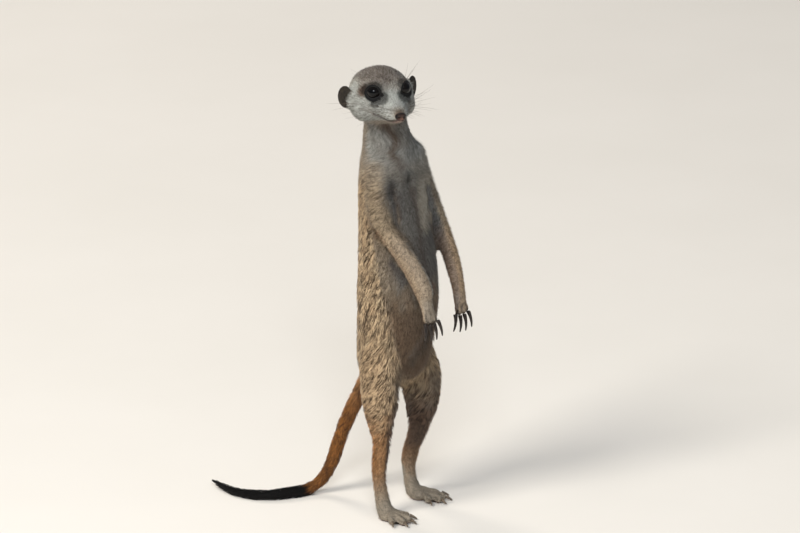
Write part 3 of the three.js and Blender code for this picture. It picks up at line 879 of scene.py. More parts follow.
def build_skin():
    """Melts the flesh together, smooths it, draws it in by the coat's depth, thins it out and shapes it."""
    points, quads = flesh_blank()
    triangles = np.vstack([quads[:, [0, 1, 2]], quads[:, [0, 2, 3]]])
    skin = Surface(points, triangles)
    lie = Lie(skin.points, skin.normals)
    small = np.clip(lie.share("arm") * ramp(4.8, 5.5, lie.along("arm"))
                    + lie.share("leg") * ramp(5.6, 6.4, lie.along("leg")), 0, 1)
    delicate = np.clip(np.maximum.reduce([small, lie.ear, ramp(4.5, 2.5, lie.nose_gap)]), 0, 1)
    skin.settle(1 - 0.97 * delicate, 34)
    skin.relax(0.15 + 0.5 * delicate, 10)
    for _ in range(SHRINK_STEPS):
        skin.points = skin.points - skin.normals * (lie.depth / SHRINK_STEPS + SWELL / SHRINK_STEPS)[:, None]
        skin.points[:, 2] = np.maximum(skin.points[:, 2], SKIN_OFF_FLOOR)
        skin.settle(0.5 * (1 - 0.97 * delicate), 5)
    fine = np.clip(lie.shares["head"] + small + lie.ear, 0, 1)
    points, triangles = decimated(skin.points, triangles, fine)
    points, triangles = refined(points, triangles, near_face(points, triangles, 10, -27))
    points, triangles = refined(points, triangles, near_face(points, triangles, 8, -34.5))
    skin = Surface(points, triangles)
    skin.relax(0.7, 4)
    shape_body(skin, Lie(skin.points, skin.normals))
    head = shape_face(to_head(skin.points), skin.normals @ HEAD_TURN)
    skin.points = from_head(head)
    skin.refresh()
    head = shape_nose(to_head(skin.points), skin.normals @ HEAD_TURN)
    skin.points = from_head(shape_lids(head))
    skin.refresh()
    return skin


# ------------------------------------------------------------------ markings

MARKS = ("slate", "ochre", "brown", "pale", "grizzle", "black", "bare", "tick")
TAIL_BLACK_FROM = 5.0


def lid_gap(head):
    """Degrees past the lid's edge, and how low round the eye, for the nearer eye."""
    past = np.full(len(head), 180.0)
    low = np.zeros(len(head))
    for sign in SIDES.values():
        centre, gaze, out, up = eye_axes(sign)
        off = head - centre
        heading = unit(off)
        azimuth = np.arctan2(heading @ up, heading @ out)
        here = np.degrees(np.arccos(np.clip(heading @ gaze, -1, 1)) - lid_angle(azimuth))
        here[np.linalg.norm(off, axis=1) > 9] = 180
        nearer = here < past
        past[nearer], low[nearer] = here[nearer], -np.sin(azimuth)[nearer]
    return past, low


def whisker_roots(lie):
    """Skin points of the whisker rows on both sides of the muzzle, with row and column of each."""
    roots = []
    for sign in SIDES.values():
        for row in range(4):
            for column in range(5 - row // 3):
                y = -32.6 + 2.7 * column + 0.5 * row
                z = -2.8 - 1.7 * row + 0.3 * column
                gap = np.hypot(lie.head[:, 1] - y, lie.head[:, 2] - z)
                gap[(lie.head[:, 0] * sign < 1.5) | (lie.head_n[:, 0] * sign < 0.1)] = 99
                roots.append((int(gap.argmin()), sign, row, column))
    return roots


def trunk_marks(lie, mark):
    """Back, belly, breast and neck; painted shade under the arms, on the lower belly and below the pouch;
    painted light on the far breast.
    """
    p, n, trunk, high = lie.p, lie.n, lie.trunk, lie.p[:, 2]
    front, back = -n[:, 1], n[:, 1]
    wander = waves(p, 11, 3)

    def by(line, reach):
        return bell(line_gap(p, line), reach)

    groin = trunk * lie.front * ramp(186, 158, high + 8 * wander)
    shade = trunk * lie.front * ramp(186, 150, high + 5 * wander)
    bars = ramp(0.1, 0.8, np.sin(high * 2 * math.pi / 13 + 0.8 * wander)) * ramp(0.2, 0.7, back)
    bars *= ramp(85, 105, high) * ramp(225, 200, high)
    shoulder = (trunk + lie.share("arm")) * ramp(246, 276, high)
    neck = trunk * ramp(262, 290, high)
    ridge, hollow = by(THROAT_RIDGE, 4.5), by(THROAT_BAND, 5.0)
    stripes = ramp(-0.2, 0.9, np.sin((p[:, 1] - 0.6 * high) * 2 * math.pi / 12 + 0.9 * wander))
    midline, pouch = by(BELLY_LINE, 4.0) * trunk, by(POUCH_EDGE, 2.2) * trunk
    # Painted shade below the pouch's edge, where the belly overhangs the far thigh: more slate and black, and
    # less brown in the groin.
    shade_below_pouch = by(np.array(POUCH_EDGE) + (6.0, 1.5, -3.2), 6.0) * trunk
    whorl = by([WHORL, (8.4, -58.1, 263.3)], 4.2)
    # Painted shadow in the nook where the elbow meets the flank.
    elbow_shadow = by([(-20.5, -39.5, 218.5), (-17.5, -44.0, 214.5)], 4.2)
    side = ramp(16, 3, lie.before) * ramp(232, 218, high)
    # Painted light on the far breast: paler, with less slate.
    lit_far_breast = trunk * ramp(9, 17, p[:, 0]) * ramp(214, 226, high) * ramp(262, 248, high)
    breast = trunk * ramp(-0.1, 0.5, front) * ramp(256, 276, high)
    # Painted shadow: slate, brown and black along the lines where the arms lie against the trunk.
    arm_shadow = trunk * np.maximum.reduce([by(line, 4.5) for line in ARM_SHADE])
    mark["slate"] += (lie.belly * (0.95 - 0.4 * side) * (1 - 0.6 * groin) + 0.4 * shade_below_pouch + 0.2 * shade
                      + 0.3 * arm_shadow + 0.3 * hollow - 0.6 * lit_far_breast)
    mark["ochre"] += 0.16 * trunk * ramp(0.3, 0, lie.front) * (0.5 + 0.5 * wander)
    mark["brown"] += (0.3 * groin * (1 - 0.8 * shade_below_pouch) + 0.3 * shade + 0.24 * trunk * bars
                      + 0.12 * lie.belly * side + 0.2 * neck * stripes + 0.42 * hollow + 0.3 * midline
                      + 0.3 * arm_shadow)
    mark["pale"] += ((0.25 * shoulder + neck * ramp(-0.5, 0.1, front)) * (1 - 0.7 * hollow) + 0.6 * ridge
                     + 0.6 * pouch + 0.45 * lit_far_breast + 0.35 * breast * (1 - hollow))
    mark["grizzle"] += 0.42 * shoulder + 0.25 * trunk * lie.front * (1 - lie.belly)
    # In the black, the seam between arm and trunk is painted shade too.
    mark["black"] += (0.7 * whorl + 0.15 * shade_below_pouch + 0.05 * shade + 0.16 * arm_shadow + 0.1 * hollow
                      + 0.36 * lie.seam + 0.55 * elbow_shadow)
    for place in NIPPLES:
        mark["bare"] += 0.8 * ramp(1.7, 0.9, place_gap(p, place))
    mark["tick"] += 0.9 * trunk * (1 - 0.65 * lie.belly) * (1 - 0.5 * shoulder)


def limb_marks(lie, mark):
    """Arms, legs, paws and tail; painted shade on the far limbs and between fingers and toes, painted
    highlight on the near forearm.
    """
    p, n = lie.p, lie.n
    wander = waves(p, 9, 5)
    arm, leg, tail = lie.share("arm"), lie.share("leg"), lie.shares["tail"]
    arm_along, leg_along, tail_along = lie.along("arm"), lie.along("leg"), lie.along("tail")
    across = p[:, 0] - BONES["spine"].points[1, 0]
    # The left limbs are the far ones from the view; where marks differ by side, that is painted light and
    # shade.
    left = across > 0
    inner = -np.sign(across) * n[:, 0]
    front, back = -n[:, 1], n[:, 1]
    forearm = arm * ramp(1.8, 2.6, arm_along)
    hand = arm * ramp(4.0, 4.8, arm_along)
    foot = leg * ramp(4.1, 5.3, leg_along)
    thigh = leg * ramp(3.0, 1.8, leg_along)
    shank = leg * ramp(1.2, 3.0, leg_along + 0.3 * wander) * ramp(5.3, 3.9, leg_along)
    # Slate and black on the inner side of the legs, their own colour; on the far, left leg the front is
    # darkened more, as painted shade.
    inner_and_far_shade = inner + np.where(left, 0.75, 0.3) * front - 0.2
    inner_and_far_shade = ramp(-0.3, 0.2, inner_and_far_shade) * ramp(5, 3.6, leg_along)
    # Painted highlight along the leading edge of the near forearm: paler, with its slate taken out.
    edge = ~left * forearm * ramp(0.35, 0.75, front) * ramp(0.2, 0.6, inner) * ramp(4.6, 4.0, arm_along)
    # The far, left upper arm gets more slate than the near one: painted shade.
    mark["slate"] += leg * inner_and_far_shade + arm * (
        0.9 * ramp(0.15, 0.75, inner) + (0.25 + 0.35 * left) * ramp(2.8, 1.2, arm_along))
    mark["slate"] *= 1 - 0.9 * edge
    mark["ochre"] += (shank * (0.62 + 0.3 * ramp(-0.4, 0.7, back)) * (1 - 0.6 * inner_and_far_shade)
                      + thigh * (0.14 + ramp(0.0, 0.8, back) * ramp(0.6, 2.2, leg_along) * 0.4)
                      + forearm * (0.2 + ramp(-0.1, 0.7, back) * 0.42)
                      + 0.5 * arm * bell(arm_along - 2.0, 0.7) * ramp(-0.3, 0.5, back)
                      + tail * (0.72 + 0.28 * ramp(0.3, 1.5, tail_along)))
    mark["brown"] += (0.06 * leg * ramp(0.2, 0.8, inner) * ramp(3.4, 1.5, leg_along)
                      + 0.2 * shank * (0.5 + 0.5 * wander) + tail * (0.46 + 0.16 * wander))
    # The far, left forearm is less pale than the near one: painted shade.
    mark["pale"] += ((0.18 + 0.14 * ramp(-0.1, 0.8, front)) * forearm * (0.3 + 0.7 * ~left) + 0.3 * foot
                     + 0.7 * edge + 0.1 * hand)
    mark["grizzle"] += 0.4 * foot + 0.12 * hand
    tip = ramp(-0.25, 0.3, tail_along - TAIL_BLACK_FROM + 0.12 * waves(p, 4, 4))
    mark["black"] += 0.3 * leg * inner_and_far_shade + tail * (0.2 * ramp(0.5, 3.5, tail_along) + tip)
    # Painted shadow in the gaps between fingers and between toes.
    for line in finger_gaps():
        mark["black"] += 0.45 * (hand + foot) * bell(line_gap(p, line), 1.3)
    for place in claw_roots():
        mark["black"] += 0.7 * hand * bell(place_gap(p, place), 2.6)
    mark["bare"] += lie.sole * (foot + hand)
    mark["tick"] += thigh + 0.85 * arm * (1 - 0.4 * hand) + 0.65 * shank + 0.3 * foot + 0.7 * tail


def face_marks(lie, mark):
    """Crown, eye patches, muzzle, nose, lips, ears and the dots at the whiskers' roots."""
    h, head, folded = lie.head, lie.shares["head"], lie.folded
    wander, speckle = waves(lie.p, 11, 3), waves(lie.p, 3.2, 4)

    def gap(middle, stretch=(1, 1, 1)):
        return np.linalg.norm((folded - middle) / stretch, axis=1)

    height = h[:, 2] + 0.10 * (h[:, 1] + 10) + 1.1 * wander - 0.3 * np.maximum(folded[:, 0] - 11, 0)
    crown = head * ramp(10.0, 14.5, height) * ramp(-27, -18, h[:, 1])
    brow = head * ramp(4.0, 9.0, height) * ramp(-25, -19, h[:, 1]) * ramp(19.5, 15.5, folded[:, 0])
    nape = head * ramp(4, 14, h[:, 1])
    jaw = head * ramp(-8.8, -11.2, h[:, 2] + 0.28 * (h[:, 1] + 30)) * ramp(8, -6, h[:, 1])
    saddle = head * bell(gap((0, -34.8, -2.4), (1.5, 1.1, 0.9)), 5.6)
    temple = head * ramp(6.4, 2.6, gap((18.0, -9.0, 6.8), (1, 1, 1.15)) + 0.5 * speckle)
    patch = ramp(8.4, 6.4, lie.eye_gap + 0.5 * speckle)
    for middle, stretch, outer, inner in (
            ((8.4, -20.4, 3.4), (1, 1.1, 1), 6.6, 4.0),
            ((12.0, -19.0, 0.2), (1, 1, 1), 4.6, 3.0),
            ((15.6, -10.0, 7.6), (1, 1, 1), 5.2, 3.4)):
        patch = np.maximum(patch, ramp(outer, inner, gap(middle, stretch) + 0.5 * speckle))
    past, low = lid_gap(h)
    waterline = ramp(1.2, 0.0, past) * ramp(0.1, 0.8, low)
    cheek = line_gap(folded, CHEEK_LINE)
    lip = head * ramp(1.2, 0.7, lie.mouth_gap) * (0.15 + 0.85 * ramp(-30.5, -34.0, h[:, 1]))
    under_lip = head * ramp(1.9, 0.6, line_gap(folded, np.array(MOUTH_LINE[:2]) - (0, 0, 1.3)))
    nose_low = bell(gap((0, -38.0, -7.8)), 3.2)
    nostril = bell(gap(NOSTRIL), 1.6)
    nose_side = ramp(2.2, 3.6, folded[:, 0])
    bright = (1 - 0.85 * crown) * (1 - 0.3 * brow) * (1 - 0.5 * nape) * (1 - 0.55 * jaw) * (1 - 0.7 * saddle)
    mark["pale"] += head * bright + 0.9 * under_lip
    mark["pale"] *= (1 - 0.95 * lie.nose) * (1 - lie.ear)
    mark["grizzle"] += (0.92 * crown + 0.5 * brow * (1 - crown) + 0.5 * nape + 0.4 * jaw + 0.4 * saddle
                        + head * (0.5 * ramp(1.5, 0.3, cheek) + 0.15 + 0.15 * speckle))
    mark["slate"] += 0.4 * brow * (1 - crown)
    mark["brown"] += (0.85 * temple + 0.6 * saddle + 0.3 * jaw + 0.1 * lie.ear
                      + 0.16 * crown * ramp(12, 5, folded[:, 0]))
    mark["bare"] += np.maximum.reduce([lie.nose, 0.8 * lip, 0.55 * under_lip, 0.6 * waterline])
    mark["black"] += (head * (0.76 * patch * (1 - lie.nose) + 0.4 * ramp(12, 6, past))
                      + lie.ear * (1 - 0.06 * ear_hollow(lie))
                      + lie.nose * (0.74 - 0.5 * nose_low + 0.5 * nostril + 0.2 * nose_side)
                      + 0.8 * head * bell(lie.mouth_gap, 1.25) + 0.35 * saddle)
    for root, _, _, _ in whisker_roots(lie):
        mark["black"] += 0.7 * bell(np.linalg.norm(h - h[root], axis=1), 0.75)
    mark["tick"] += crown + 0.5 * brow + 0.45 * head


def markings(lie):
    """How much of each named coat colour shows at every point, 0 to 1."""
    mark = {name: np.zeros(len(lie.p)) for name in MARKS}
    for paint in (trunk_marks, limb_marks, face_marks):
        paint(lie, mark)
    return np.stack([np.clip(mark[name], 0, 1) for name in MARKS], 1)


# ------------------------------------------------------------------ materials

def srgb(red, green, blue):
    """A colour as seen on a screen, 0 to 255, made linear."""
    parts = [v / 255 for v in (red, green, blue)]
    return tuple(v / 12.92 if v <= 0.04045 else ((v + 0.055) / 1.055) ** 2.4 for v in parts) + (1.0,)


COAT_COLOURS = {
    "sand": srgb(190, 168, 137),
    "slate": srgb(102, 102, 100),
    "ochre": srgb(184, 120, 58),
    "brown": srgb(86, 60, 42),
    "pale": srgb(182, 184, 178),
    "grizzle": srgb(132, 127, 121),
    "black": srgb(14, 12, 11),
    "bare": srgb(122, 86, 72),
    "lip": srgb(158, 126, 112),
    "ticking": srgb(58, 42, 31),
    "under": srgb(84, 66, 52),
}


def add(tree, kind, inputs=None, **settings):
    """Adds a node, sets its options, and sets or links its inputs."""
    node = tree.nodes.new(kind)
    for key, value in settings.items():
        setattr(node, key, value)
    for key, value in (inputs or {}).items():
        if isinstance(value, bpy.types.NodeSocket):
            tree.links.new(value, node.inputs[key])
        else:
            node.inputs[key].default_value = value
    return node


def mix(tree, factor, a, b, blend="MIX"):
    node = add(tree, "ShaderNodeMix", {0: factor, 6: a, 7: b}, data_type="RGBA", blend_type=blend)
    return node.outputs[2]


def math_node(tree, operation, a, b):
    return add(tree, "ShaderNodeMath", {0: a, 1: b}, operation=operation).outputs[0]


def step(tree, value, low, high):
    """0 to 1 between two values, smooth; works downwards too."""
    span = {0: value, 1: low, 2: high, 3: 0.0, 4: 1.0}
    return add(tree, "ShaderNodeMapRange", span, interpolation_type="SMOOTHSTEP").outputs[0]


def rescale(tree, value, low, high, bottom, top):
    """Turns the span between low and high into the one between bottom and top."""
    return add(tree, "ShaderNodeMapRange", {0: value, 1: low, 2: high, 3: bottom, 4: top}).outputs[0]


def brighten(tree, colour, value):
    return add(tree, "ShaderNodeHueSaturation", {"Value": value, "Color": colour}).outputs[0]


def noise(tree, scale, detail=3.0, roughness=0.55, stretch=(1, 1, 1)):
    """Noise on Object coordinates; scale is in waves per metre."""
    place = add(tree, "ShaderNodeTexCoord").outputs["Object"]
    place = add(tree, "ShaderNodeMapping", {"Vector": place, "Scale": stretch}).outputs[0]
    look = {"Vector": place, "Scale": scale, "Detail": detail, "Roughness": roughness}
    return add(tree, "ShaderNodeTexNoise", look).outputs["Fac"]


def new_group(name, inputs, outputs):
    group = bpy.data.node_groups.new(name, "ShaderNodeTree")
    for label, kind, value in inputs:
        socket = group.interface.new_socket(label, in_out="INPUT", socket_type=kind)
        socket.default_value = value
    for label, kind in outputs:
        group.interface.new_socket(label, in_out="OUTPUT", socket_type=kind)
    return group, group.nodes.new("NodeGroupInput").outputs, group.nodes.new("NodeGroupOutput").inputs


def coat_colour_group():
    """Colour of one hair or of the skin, from the marks there and the place along the hair."""
    group, given, result = new_group(
        "coat colour",
        [("Along", "NodeSocketFloat", 0.3), ("Tone", "NodeSocketFloat", 0.0),
         ("Marks A", "NodeSocketColor", (0, 0, 0, 1)), ("Pale", "NodeSocketFloat", 0.0),
         ("Marks B", "NodeSocketColor", (0, 0, 0, 1)), ("Tick", "NodeSocketFloat", 0.5)],
        [("Colour", "NodeSocketColor"), ("Roughness", "NodeSocketFloat")])
    first = add(group, "ShaderNodeSeparateColor", {0: given["Marks A"]}).outputs
    second = add(group, "ShaderNodeSeparateColor", {0: given["Marks B"]}).outputs
    colour = COAT_COLOURS["sand"]
    masks = {"slate": first[0], "ochre": first[1], "pale": given["Pale"], "grizzle": second[0],
             "brown": first[2]}
    for name, mask in masks.items():
        colour = mix(group, mask, colour, COAT_COLOURS[name])
    under = mix(group, 1.0, colour, COAT_COLOURS["under"], "MULTIPLY")
    under = mix(group, 0.45, under, COAT_COLOURS["ticking"])
    under = mix(group, math_node(group, "MULTIPLY", given["Pale"], 0.8), under, colour)
    colour = mix(group, step(group, given["Along"], 0.02, 0.45), under, colour)
    band_end = step(group, given["Along"], 0.80, 0.95)
    band = math_node(group, "SUBTRACT", step(group, given["Along"], 0.52, 0.66), band_end)
    band = math_node(group, "MULTIPLY", band, given["Tick"])
    band = math_node(group, "MULTIPLY", band, step(group, given["Tone"], 0.75, -0.1))
    colour = mix(group, math_node(group, "MULTIPLY", band, 0.7), colour, COAT_COLOURS["ticking"])
    dark = math_node(group, "MULTIPLY", step(group, given["Tone"], -0.2, -0.75), given["Tick"])
    colour = mix(group, math_node(group, "MULTIPLY", dark, 0.85), colour, COAT_COLOURS["ticking"])
    light = rescale(group, given["Tone"], -1.0, 1.0, 0.64, 1.28)
    value = brighten(group, colour, light)
    bare = mix(group, given["Pale"], COAT_COLOURS["bare"], COAT_COLOURS["lip"])
    value = mix(group, second[2], value, bare)
    value = mix(group, second[1], value, COAT_COLOURS["black"])
    group.links.new(value, result["Colour"])
    rough = math_node(group, "SUBTRACT", 0.68, math_node(group, "MULTIPLY", second[2], 0.22))
    group.links.new(rough, result["Roughness"])
    return group


def material(name):
    made = bpy.data.materials.new(name)
    made.use_nodes = True
    tree = made.node_tree
    shader = tree.nodes["Principled BSDF"]
    return made, tree, shader


def marks_inputs(tree, along, tone):
    a = add(tree, "ShaderNodeAttribute", attribute_name="marks_a")
    b = add(tree, "ShaderNodeAttribute", attribute_name="marks_b")
    return {"Along": along, "Tone": tone, "Marks A": a.outputs["Color"], "Pale": a.outputs["Alpha"],
            "Marks B": b.outputs["Color"], "Tick": b.outputs["Alpha"]}


def coat_material(group):
    made, tree, shader = material("coat_hair")
    hair = add(tree, "ShaderNodeAttribute", attribute_name="hair")
    split = add(tree, "ShaderNodeSeparateColor", {0: hair.outputs["Color"]}).outputs
    tone = rescale(tree, split[1], 0.0, 1.0, -1.0, 1.0)
    look = add(tree, "ShaderNodeGroup", node_tree=group)
    for key, value in marks_inputs(tree, split[0], tone).items():
        tree.links.new(value, look.inputs[key])
    fine = noise(tree, 900, 2.0)
    colour = brighten(tree, look.outputs["Colour"], rescale(tree, fine, 0.3, 0.7, 0.86, 1.12))
    tree.links.new(colour, shader.inputs["Base Color"])
    tree.links.new(look.outputs["Roughness"], shader.inputs["Roughness"])
    shader.inputs["Specular IOR Level"].default_value = 0.24
    shader.inputs["Sheen Weight"].default_value = 0.07
    shader.inputs["Sheen Roughness"].default_value = 0.5
    return made


def skin_material(group):
    made, tree, shader = material("meerkat_skin")
    speck = noise(tree, 1400, 3.0, 0.6)
    # The skin gets the colour of the hairs' dark roots: partly the underfur's own colour, partly painted
    # shade under the coat.
    along = rescale(tree, speck, 0.3, 0.7, 0.12, 0.42)
    tone = rescale(tree, noise(tree, 500, 2.0), 0.3, 0.7, -0.6, 0.5)
    look = add(tree, "ShaderNodeGroup", node_tree=group)
    for key, value in marks_inputs(tree, along, tone).items():
        tree.links.new(value, look.inputs[key])
    tree.links.new(look.outputs["Colour"], shader.inputs["Base Color"])
    tree.links.new(look.outputs["Roughness"], shader.inputs["Roughness"])
    pebble = add(tree, "ShaderNodeTexVoronoi", {
        "Vector": add(tree, "ShaderNodeTexCoord").outputs["Object"], "Scale": 1500.0}).outputs["Distance"]
    height = math_node(tree, "ADD", math_node(tree, "MULTIPLY", pebble, 0.6), speck)
    bump = add(tree, "ShaderNodeBump", {"Strength": 0.5, "Distance": 0.0003, "Height": height})
    tree.links.new(bump.outputs[0], shader.inputs["Normal"])
    shader.inputs["Specular IOR Level"].default_value = 0.35
    return made


# Where the colours of the eye change, as angles from the gaze.
PUPIL_EDGE = (0.36, 0.42)
IRIS_RIM = (0.62, 0.74)
IRIS_EDGE = (0.96, 1.1)


def eye_material():
    """Dark brown iris round a black pupil, under a wet clear coat."""
    made, tree, shader = material("eye_wet")
    look = add(tree, "ShaderNodeAttribute", attribute_name="gaze")
    split = add(tree, "ShaderNodeSeparateColor", {0: look.outputs["Color"]}).outputs
    ray = add(tree, "ShaderNodeTexNoise", {
        "Vector": add(tree, "ShaderNodeCombineXYZ", {0: split[1], 1: split[0]}).outputs[0], "Scale": 26.0})
    iris = mix(tree, step(tree, ray.outputs["Fac"], 0.3, 0.7), srgb(6, 5, 5), srgb(14, 10, 8))
    colour = mix(tree, step(tree, split[0], *PUPIL_EDGE), srgb(4, 4, 5), iris)
    colour = mix(tree, step(tree, split[0], *IRIS_RIM), colour, srgb(14, 10, 8))
    colour = mix(tree, step(tree, split[0], *IRIS_EDGE), colour, srgb(40, 32, 28))
    tree.links.new(colour, shader.inputs["Base Color"])
    shader.inputs["Roughness"].default_value = 0.2
    shader.inputs["Specular IOR Level"].default_value = 0.05
    shader.inputs["Coat Weight"].default_value = 0.7
    shader.inputs["Coat Roughness"].default_value = 0.03
    shader.inputs["Coat IOR"].default_value = 1.36
    return made


def horn_material(name, dark, light):
    """Claw horn: streaked along its length, worn paler here and there."""
    made, tree, shader = material(name)
    streak = noise(tree, 1600, 3.0, 0.6, (1, 1, 0.25))
    wear = noise(tree, 420, 2.0)
    colour = mix(tree, step(tree, streak, 0.35, 0.75), dark, light)
    colour = mix(tree, math_node(tree, "MULTIPLY", step(tree, wear, 0.52, 0.72), 0.4), colour, light)
    tree.links.new(colour, shader.inputs["Base Color"])
    tree.links.new(rescale(tree, streak, 0.0, 1.0, 0.24, 0.42), shader.inputs["Roughness"])
    bump = add(tree, "ShaderNodeBump", {"Strength": 0.25, "Distance": 0.0001, "Height": streak})
    tree.links.new(bump.outputs[0], shader.inputs["Normal"])
    return made


def whisker_material():
    made, tree, shader = material("whisker_hair")
    tint = mix(tree, noise(tree, 300, 1.0), srgb(40, 31, 25), srgb(92, 76, 62))
    tree.links.new(tint, shader.inputs["Base Color"])
    shader.inputs["Roughness"].default_value = 0.35
    return made


def floor_material():
    made, tree, shader = material("studio_floor")
    tint = mix(tree, noise(tree, 6, 3.0), srgb(228, 224, 217), srgb(234, 230, 224))
    tree.links.new(tint, shader.inputs["Base Color"])
    shader.inputs["Roughness"].default_value = 0.8
    shader.inputs["Specular IOR Level"].default_value = 0.2
    return made


# ------------------------------------------------------------------ coat

# Rings of a tuft, as shares of its length; the tip closes it.
RINGS_SHORT = (0.0, 0.5)
RINGS_FINE = (0.0,)
LOCK_SWAY, TUFT_SWAY = 0.13, 0.10
LOCK_TONE, TUFT_TONE = 0.56, 0.2
THIN_HAIR, THICKER_PER_LENGTH = 0.19, 0.047
COAT_OFF_FLOOR = 0.15
BARE_FROM = 0.45


def bare_places(lie, marks):
    """1 where no hair grows: lids, nose, lips, soles, nipples and the bowls of the ears."""
    past, _ = lid_gap(lie.head)
    inside_ear = lie.ear * ear_hollow(lie) * ramp(0.8, 0.62, ear_radius(lie))
    mouth = lie.shares["head"] * ramp(1.0, 0.6, lie.mouth_gap)
    bare = 0.95 * (marks[:, MARKS.index("bare")] > BARE_FROM)
    places = [ramp(6, 2.5, past), lie.nose, mouth, bare, lie.sole, ramp(0.4, 0.8, inside_ear)]
    return np.clip(np.maximum.reduce(places), 0, 1)


class Coat:
    """Grows tufts from the skin."""

    def __init__(self, surface, lie, marks, hair):
        self.skin = surface
        self.lie = lie
        self.marks = marks
        self.material = hair
        self.bare = bare_places(lie, marks)
        self.flow = lie.direction()
        for _ in range(6):
            self.flow = tangent(self.flow + 0.8 * surface.average(self.flow), surface.normals)
        self.normals = surface.normals
        for _ in range(4):
            self.normals = unit(self.normals + surface.average(self.normals))

    def sample(self, faces, weight, count):
        """Places spread evenly over some triangles: point, nearest skin point."""
        share = self.skin.area[faces] * weight
        total = np.cumsum(share)
        picks = (np.arange(count) + rng.random(count)) / count * total[-1]
        chosen = faces[np.minimum(np.searchsorted(total, picks), len(faces) - 1)]
        a, b = rng.random(count), rng.random(count)
        over = a + b > 1
        a[over], b[over] = 1 - a[over], 1 - b[over]
        corners = self.skin.points[self.skin.triangles[chosen]]
        first, second = corners[:, 1] - corners[:, 0], corners[:, 2] - corners[:, 0]
        at = corners[:, 0] + a[:, None] * first + b[:, None] * second
        return at, self.skin.find(at, self.skin.triangles[chosen, 0])

    def on_skin(self, p, number):
        """Drops points on to the skin near a known skin point."""
        n = self.normals[number]
        return p - ((p - self.skin.points[number]) * n).sum(1, keepdims=True) * n

    def grow(self, at, number, length, lift, sway, stations):
        """Curves along the skin: one row of places per tuft, and the skin's normal below each."""
        foot = at
        heading = self.flow[number]
        n = self.normals[number]
        across = np.cross(heading, n)
        heading = unit(heading * np.cos(sway)[:, None] + across * np.sin(sway)[:, None])
        places, normals = [foot - 0.3 * n], [n]
        before = 0.0
        for station in stations:
            for _ in range(2):
                foot = foot + heading * (length * (station - before) / 2)[:, None]
                number = self.skin.find(foot, number)
                foot = self.on_skin(foot, number)
                n = self.normals[number]
                turn = np.cross(self.flow[number], n)
                wish = self.flow[number] * np.cos(sway)[:, None] + turn * np.sin(sway)[:, None]
                heading = tangent(heading + 0.7 * wish, n)
            rise = lift * (1 - (1 - station) ** 2.2)
            places.append(foot + n * rise[:, None])
            normals.append(n)
            before = station
        return np.stack(places, 1), np.stack(normals, 1)


def tuft_mesh(places, normals, width, rings):
    """Closed three-sided spikes along rows of places: points, triangles and shading normals.

    The shading leans to the skin's own, so that the tufts read as one soft coat.
    """
    count, stations = places.shape[:2]
    last = stations - 1
    steps = np.diff(places, axis=1)
    heading = unit(np.concatenate([steps[:, :1], steps[:, :-1] + steps[:, 1:]], 1))
    across = unit(np.cross(heading, normals[:, :last]))
    above = np.cross(across, heading)
    taper = np.interp(rings, (0, 0.35, 1), (0.75, 1.0, 0.3))
    half = (width[:, None] * taper / 2)[..., None]
    centre = places[:, :last]
    ring = np.stack([centre - across * half - above * half * 0.25,
                     centre + across * half - above * half * 0.25,
                     centre + above * half * 0.8], 2)
    points = np.concatenate([ring.reshape(count, last * 3, 3), places[:, last:]], 1)
    block = [(0, 1, 2)]
    for k in range(last):
        for a, b in ((0, 1), (1, 2), (2, 0)):
            if k + 1 < last:
                block.append((3 * k + a, 3 * k + 3 + a, 3 * k + 3 + b))
                block.append((3 * k + a, 3 * k + 3 + b, 3 * k + b))
            else:
                block.append((3 * k + a, 3 * last, 3 * k + b))
    per = last * 3 + 1
    triangles = (np.array(block)[None] + (np.arange(count) * per)[:, None, None]).reshape(-1, 3)
    outward = np.stack([-across, across, above], 2) * np.array((0.45, 0.45, 0.25))[:, None]
    facing = unit(outward + normals[:, :last, None])
    facing = np.concatenate([facing.reshape(count, last * 3, 3), normals[:, last:]], 1)
    return points.reshape(-1, 3), triangles, facing.reshape(-1, 3), per


PATCH = 0.003


def patch_map(root_uv, rings, per):
    """Each tuft's own small patch of the map, at its root's place: along the hair, and across it."""
    last = len(rings)
    local = np.zeros((per, 2))
    for k in range(last):
        local[3 * k:3 * k + 3, 1] = rings[k] - 0.5
        local[3 * k:3 * k + 3, 0] = (-0.5, 0.5, 0.0)
        local[3 * k + 2, 1] += 0.08
    local[-1] = (0.0, 0.5)
    return root_uv[:, None] + local[None] * PATCH


def spread(value):
    """Values laid out between 0 and 1, a little clear of both."""
    low, high = value.min(), value.max()
    return 0.01 + 0.98 * (value - low) / max(high - low, 1e-6)


def unwrap(coat, numbers, kind):
    """Map places of skin points: turn about the bone, place along it, left and right limbs side by side."""
    lie = coat.lie
    if kind == "head":
        h = lie.head[numbers]
        return np.stack([spread(np.arctan2(h[:, 0], h[:, 2])), spread(h[:, 1])], 1)
    if kind in ("spine", "tail"):
        along, _, heading, offset = (value[numbers] for value in lie.places[kind])
        reference = (0, -1, 0) if kind == "spine" else (0.8, 0.1, 0.6)
        return np.stack([spread(around(offset, heading, reference)), spread(along)], 1)
    ratio = {side: lie.places[kind + "_" + side][1][numbers] for side in SIDES}
    left = ratio["left"] < ratio["right"]
    out = np.zeros((len(numbers), 2))
    for side, chosen in (("left", left), ("right", ~left)):
        along, _, heading, offset = (value[numbers][chosen] for value in lie.places[kind + "_" + side])
        out[chosen, 0] = 0.25 + 0.48 * around(offset, heading, (1, 0, 0)) + (0.5 if side == "left" else 0.0)
        out[chosen, 1] = along
    return np.stack([spread(out[:, 0]), spread(out[:, 1])], 1)


